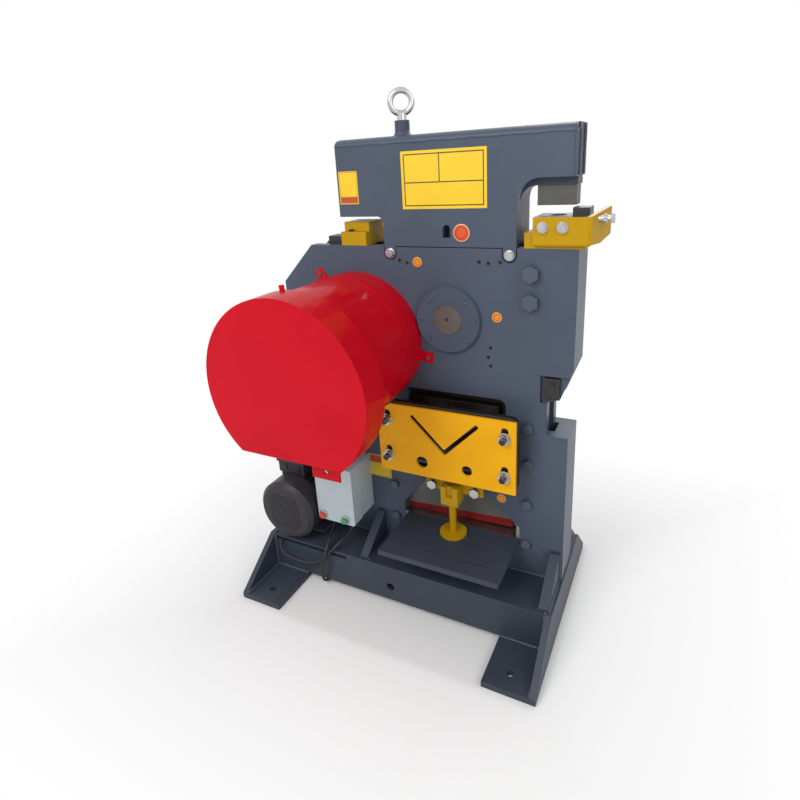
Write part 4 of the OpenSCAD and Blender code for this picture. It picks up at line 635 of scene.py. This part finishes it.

# Ram: a slab that slides between the plates, with a cheek welded on each side of its T-shaped head.
# Ear bolts hold the cheeks; the lifting eye is screwed into a boss; printed plates stick on the front cheek.
# The slab is oily inside the frame, ground at its foot, painted on its head and bare on the arm's end; inside
# the frame and on that end its colour is also darkened as painted shade.
dress(frame_paint, "ram_front_cheek", "ram_rear_cheek")
dress(zinc_steel, "cheek_bolts", "lifting_eye")
slab_paint_z, slab_ground_z, slab_end_x = 1.225, 0.47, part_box("ram_slab")[1][0] - 0.0005
slab = Finish("slab_steel", specular_ior_level=0.3)
slab_marks, slab_oil = slab.noise(0.02, 4, 0.7, slab.place((12, 1, 1))), slab.noise(0.09, 5)
slab_painted = ((slab.along("Z") - slab_paint_z) * 80).held()
slab_ground = ((slab_ground_z - slab.along("Z")) * 14).held()
# Very dark oily steel: partly oil, partly painted shade of the frame's inside and of the recess at the arm's
# end.
slab_oil_and_shade = slab.mix(slab_oil, linear(30, 24, 20), linear(64, 54, 46))
slab_clean = slab.mix(slab_marks, linear(96, 97, 98), linear(140, 140, 138))
slab_head = slab.mix(slab.along("X") > slab_end_x, linear(66, 74, 88), slab_oil_and_shade)
slab_steel = slab.give(
    base_color=slab.mix(slab_painted, slab.mix(slab_ground, slab_oil_and_shade, slab_clean), slab_head),
    roughness=0.3 + slab_oil * 0.25,
    metallic=slab_ground * 0.6,
    normal=slab.relief(slab_marks, 0.0002, 0.0014),
)
dress(slab_steel, "ram_slab")


def fillet(profile, starts, stops, steps=120):
    """A long weld run of a given section: the section is carried along x, and its rim wavers a little.

    The rim moves by two sines of different length, so that the run looks laid by hand.
    """
    x = np.linspace(starts, stops, steps)[:, None]
    section = np.asarray(profile, float)[None]
    waver = 0.9 * np.sin(x / 17) + 0.6 * np.sin(x / 6.3 + 1)
    y = section[:, :, 0] + 0 * x
    z = section[:, :, 1] + waver * section[:, :, 2]
    count = len(profile)
    points = np.stack([x + 0 * y, y, z], axis=2).reshape(-1, 3) / 1000
    walls = strip(steps, count).tolist()
    return points, walls + [list(range(count)), [steps * count - 1 - k for k in range(count)]]


top_section = [
    (-29.5, 1509, 1), (-30.8, 1511, 1), (-31.2, 1514, 0.6), (-30.4, 1518, 0.2), (-26, 1524, 0.1),
    (-18, 1528.6, 0.1), (-8, 1531.3, 0.1), (5.5, 1532.4, 0), (5.5, 1517, 0), (-29.5, 1517, 0),
]
slab_front, slab_rear, arm_right, arm_left = 6, 70, 517.5, -195.5
top_span, cheek_end, cheek_pitch = (-193, 514), line(516, -28.6, (1514, 1406)), 0.007
cheek_weld_r, arm_weld_r = 0.0042, 0.0045
arm_runs = [
    line(arm_right, slab_front, (1518, 1405)),
    line(arm_right, slab_rear, (1530, 1405)),
    line(arm_left, slab_front, (1312, 1516)),
    line(arm_left, slab_rear, (1312, 1530)),
]
boss_at = (3, 38, 1533)
boss_flare = [(31, 0.1), (28.5, 1.2), (25.5, 3.6), (23.4, 7.5), (22.3, 13), (21.8, 13), (21.8, 0.1)]
ram_welds = [
    fillet(top_section, *top_span),
    bead(cheek_end, cheek_weld_r, cheek_pitch),
    *[bead(run, arm_weld_r) for run in arm_runs],
    lathe(boss_flare, boss_at, 48, "z", ring=True),
]
mesh_piece("ram_welds", *join(ram_welds), "ram", frame_paint, "frame_paint")
plate_yellow = (246, 206, 22)
sign(
    "large_plate", "ram", (155, 1408.5), (258, 160), thick=0.8, corner=2, border=3.4, line_at=8,
    ground=plate_yellow, ink=(26, 24, 18), splits=[("z", -0.08, -1, 1), ("x", -0.08, -0.08, 1)],
)
sign(
    "small_plate", "ram", (-156, 1394), (66, 96), thick=0.8, corner=1.5, border=1.2, line_at=2.5,
    ground=plate_yellow, ink=(176, 40, 22), band=(-0.92, -0.55),
)
round_colours = ((222, 92, 30), (212, 70, 24), (214, 66, 22), (236, 190, 140))
sticker("round_plate", "ram", (207, 1261), 25, thick=0.6, rings=(13, 18, 22), colours=round_colours)

# Eccentric: a forged shaft in bronze bushes, its nose showing in a turned cap with six socket screws.
# The bronze slide block turns on its journal inside the ram's window.
bronze_metal = machined("bronze", (176, 132, 72), 0.36, (1, 60, 1), 0.4, 0.0)
dress(frame_paint, "bearing_cap", "bearing_sleeve")
dress(forged_steel, "eccentric_shaft", "drive_shaft")
dress(bronze_metal, "slide_block", "shaft_bushes")
dress(bolt_paint, "cover_screws")
cap_at = (161, -42, 1004)
cap_rings = [(101.6, 0.0), (101.6, 0.6), (100.4, 1.0), (99.2, 0.6), (99.2, 0.0)]
mesh_piece("cap_lip", *lathe(cap_rings, cap_at, 96, ring=True), "frame", frame_paint, "frame_paint")

# Drive: cast iron wheels turned on their rims, a cut gear pair and three belts, all under guards.
# Wheels and pinion are keyed to the drive shaft; the bull gear is keyed to the eccentric shaft.
iron = Finish("cast_iron", metallic=0.85)
iron_sand, iron_oil = iron.noise(0.003, 3), iron.noise(0.08, 4)
cast_iron = iron.give(
    base_color=iron.mix(iron_oil, linear(52, 52, 54), linear(84, 82, 80)),
    roughness=0.45 + iron_sand * 0.25,
    normal=iron.relief(iron_sand, 0.0006, 0.0016),
)
dress(cast_iron, "bull_gear", "flywheel", "belt_pulley", "motor_pulley")
dress(black_rubber, "v_belts")

# Guards: red sheet steel, rolled and welded, screwed to the plates by tabs.
# The front drum and its round cap cover the flywheel; two flat boxes cover gears and belts at the rear.
guard_paint = sprayed(
    "guard_paint", (194, 0, 26), 0.32, chips=0.2, peel=0.0003, coat=0.2, dull=0.86, bare=(150, 30, 36),
    shine=0.03,
)
dress(guard_paint, "guard_drum", "guard_cap", "gear_guard", "belt_guard")

# Motor: a finned aluminium housing with a pressed fan cover, painted dark grey, on a slide plate.
# Its terminal box has a lid with four small screws.
motor_paint = sprayed("motor_paint", (50, 48, 53), 0.44, chips=0.5, peel=0.0004)
dress(motor_paint, "motor_frame", "fan_cover", "terminal_box")
dress(frame_paint, "motor_plate")
dress(bare_steel, "motor_rotor")
pan_head = [(4.2, 0), (4.2, 1.2), (3.6, 2.2), (2.2, 2.8), (1.0, 2.9)]
lid_low, lid_high = (1000 * np.array(corner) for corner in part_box("terminal_box"))
screw_inset = 8
lid_screws = [
    lathe(pan_head, (x, y, lid_high[2]), 14, "z")
    for x in (lid_low[0] + screw_inset, lid_high[0] - screw_inset)
    for y in (lid_low[1] + screw_inset, lid_high[1] - screw_inset)
]
mesh_piece("lid_screws", *join(lid_screws), "frame", zinc_steel, "zinc_steel")
moulded = Finish("black_plastic")
mould_tone = moulded.noise(0.02, 3)
black_plastic = moulded.give(
    base_color=moulded.mix(mould_tone, (0.012, 0.012, 0.013, 1), (0.03, 0.03, 0.031, 1)),
    roughness=0.4 + mould_tone * 0.2,
    normal=moulded.relief(moulded.noise(0.0015), 0.00015, 0.0006),
)
dress(black_plastic, "cooling_fan", "contactor", "cable_glands")

# Starter: a light grey sheet box with a deep cover, a red and a green push button in bright rings.
# Box and cover are folded from sheet, with a rolled seam between them; a contactor sits inside.
box_paint = sprayed("box_paint", (178, 190, 196), 0.34, chips=0.3, peel=0.0003, coat=0.3, dull=0.86)
dress(box_paint, "starter_box", "starter_cover")
seam_centre, seam_size, seam_corner, seam_y, seam_r = (-231.5, 375.5), (149, 217), 8, -119, 0.0016
seam_x, seam_z = outline(seam_centre, seam_size, seam_corner)
seam_path = np.c_[seam_x, np.full(len(seam_x), seam_y), seam_z] / 1000
seam_path = np.r_[seam_path, seam_path[:1]]
mesh_piece("cover_seam", *swept(seam_path, seam_r, 8), "frame", box_paint, "box_paint")


def tinted(name, colour):
    """Glossy moulded plastic with a slight cloud in its tone and fine handling marks."""
    cap = Finish(name, coat_weight=0.6)
    cloud, rub = cap.noise(0.012, 3), cap.noise(0.002, 4)
    return cap.give(
        base_color=cap.mix(cloud, linear(*colour, 0.75), linear(*colour)),
        roughness=0.18 + rub * 0.2,
        normal=cap.relief(rub, 0.00005, 0.0012),
    )


dress(tinted("red_plastic", (214, 30, 24)), "stop_button")
dress(tinted("green_plastic", (40, 150, 74)), "start_button")
stop_x, start_x, ring_y, button_z = -285, -194, -168, 286
ring_form = [(15.4, 0.0), (15.4, 4.6), (14.8, 5.6), (13.4, 6.2), (12.2, 5.8), (11.7, 5.0), (15.0, 4.0)]
button_rings = [lathe(ring_form, (x, ring_y, button_z), 40, ring=True) for x in (stop_x, start_x)]
mesh_piece("button_rings", *join(button_rings), "frame", zinc_steel, "zinc_steel")

# Plate shear: a plain table in front of the lower blade, and the inclined upper blade on the ram.
# The upper blade is ground, and painted dark red along its edge. A hold-down with a screwed foot stands over
# the table.
red_z, red_rise, red_sharp = 0.299, 0.055, 900
blade = Finish("blade_paint", specular_ior_level=0.3)
blade_marks, blade_wear = blade.noise(0.02, 4, 0.7, blade.place((12, 1, 1))), blade.noise(0.03, 5)
blade_ground = ((blade.along("Z") - blade.along("X") * red_rise - red_z) * red_sharp).held()
blade_red = blade.mix(blade_wear, linear(96, 12, 16), linear(158, 26, 30))
blade_clean = blade.mix(blade_marks, linear(96, 97, 98), linear(140, 140, 138))
blade_paint = blade.give(
    base_color=blade.mix(blade_ground, blade_red, blade_clean),
    roughness=0.38 + blade_wear * 0.25,
    metallic=blade_ground * 0.6,
    normal=blade.relief(blade_marks, 0.0002, 0.0014),
)
dress(blade_paint, "upper_blade")
dress(bare_steel, "lower_blade")
dress(base_shaded_paint, "shear_table")
# A thin dark strip on the table stands for a groove: painted shade of the groove.
line_span, line_y, line_r = (25, 335), -97, 0.0008
table_z = 1000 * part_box("shear_table")[1][2]
groove_shade_strip = bead(line(line_span, line_y, table_z), line_r)
mesh_piece("table_groove_shade", *groove_shade_strip, "frame", dark_steel, "dark_steel")
# Its yellow is darker and more olive than the section plate's: partly its own tone, partly painted shade.
station_paint_and_shade = sprayed(
    "station_paint_and_shade", (188, 147, 4), 0.36, chips=0.8, coat=0.12, dull=0.78, bare=(96, 84, 60), shine=0.1
)
dress(station_paint_and_shade, "hold_down_bracket", "hold_down_stem")

# Section shear: a yellow plate with a V and two bar holes, slotted on four studs with nuts.
# A dark frame backs it; the fixed blade sits in the plate's window behind.
tool_paint = sprayed(
    "tool_paint", (238, 172, 0), 0.36, chips=0.5, coat=0.12, dull=0.84, bare=(110, 96, 70), shine=0.1
)
dress(tool_paint, "section_plate")
dress(dark_steel, "section_backing", "section_blade")
dress(zinc_steel, "section_studs")
stud_low, stud_high = (1000 * np.array(corner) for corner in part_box("section_studs"))
stud_r, washer_r, stud_reach, thread_h, thread_pitch = 10.05, 19, 10, 0.5, 1.6
thread = [(stud_r + thread_h * (k % 2), 0.2 + thread_pitch * k / 2) for k in range(12)]
thread += [(stud_r, 9.8), (8.6, 10.4), (0.5, 10.4)]
stud_ends = [
    lathe(thread, (x, stud_low[1] + stud_reach, z), 24)
    for x in (stud_low[0] + washer_r, stud_high[0] - washer_r)
    for z in (stud_low[2] + washer_r, stud_high[2] - washer_r)
]
mesh_piece("stud_ends", *join(stud_ends), "frame", dark_steel, "dark_steel", smooth=False)

# Punching station: a die block on a yellow base, a bracket bolted in front and a screw that sets the die.
# The punch holder, a dark forging, hangs under the ram's right arm.
holder_steel = machined("holder_steel", (98, 98, 94), 0.52, (1, 1, 30), 0.5, 0.3)
dress(holder_steel, "punch_holder")
dress(dark_steel, "die_block")
dress(station_paint_and_shade, "die_base", "die_bracket")
dress(zinc_steel, "clamp_bolts", "die_adjuster")
bracket_pitch, foot_weld_r, corner_weld_r = 0.006, 0.0035, 0.003
bracket_foot = line((414, 470, 560), -38, (1231.5, 1231, 1231.5))
bracket_corner = line(562, -41, (1234, 1268, 1302))
bracket_welds = [
    bead(bracket_foot, foot_weld_r, bracket_pitch),
    bead(bracket_corner, corner_weld_r, bracket_pitch),
]
mesh_piece("bracket_welds", *join(bracket_welds), "frame", station_paint_and_shade, "tool_paint")

# Notching stations: a stepped yellow die and a stop bar on the left shoulder, a small block on the right.
# All are milled from steel; only the die is painted, and a socket screw holds it down.
dress(station_paint_and_shade, "notch_die")
dress(dark_steel, "notch_blocks")
notch_screw_at = (-168, -17, 1262)
socket_head = [(8, 0), (8, 5.4), (7.2, 6.2), (4.2, 6.2), (4.2, 3.0), (0.4, 3.0)]
notch_screw = lathe(socket_head, notch_screw_at, 24, "z")
mesh_piece("notch_screw", *notch_screw, "frame", dark_steel, "dark_steel", smooth=False)
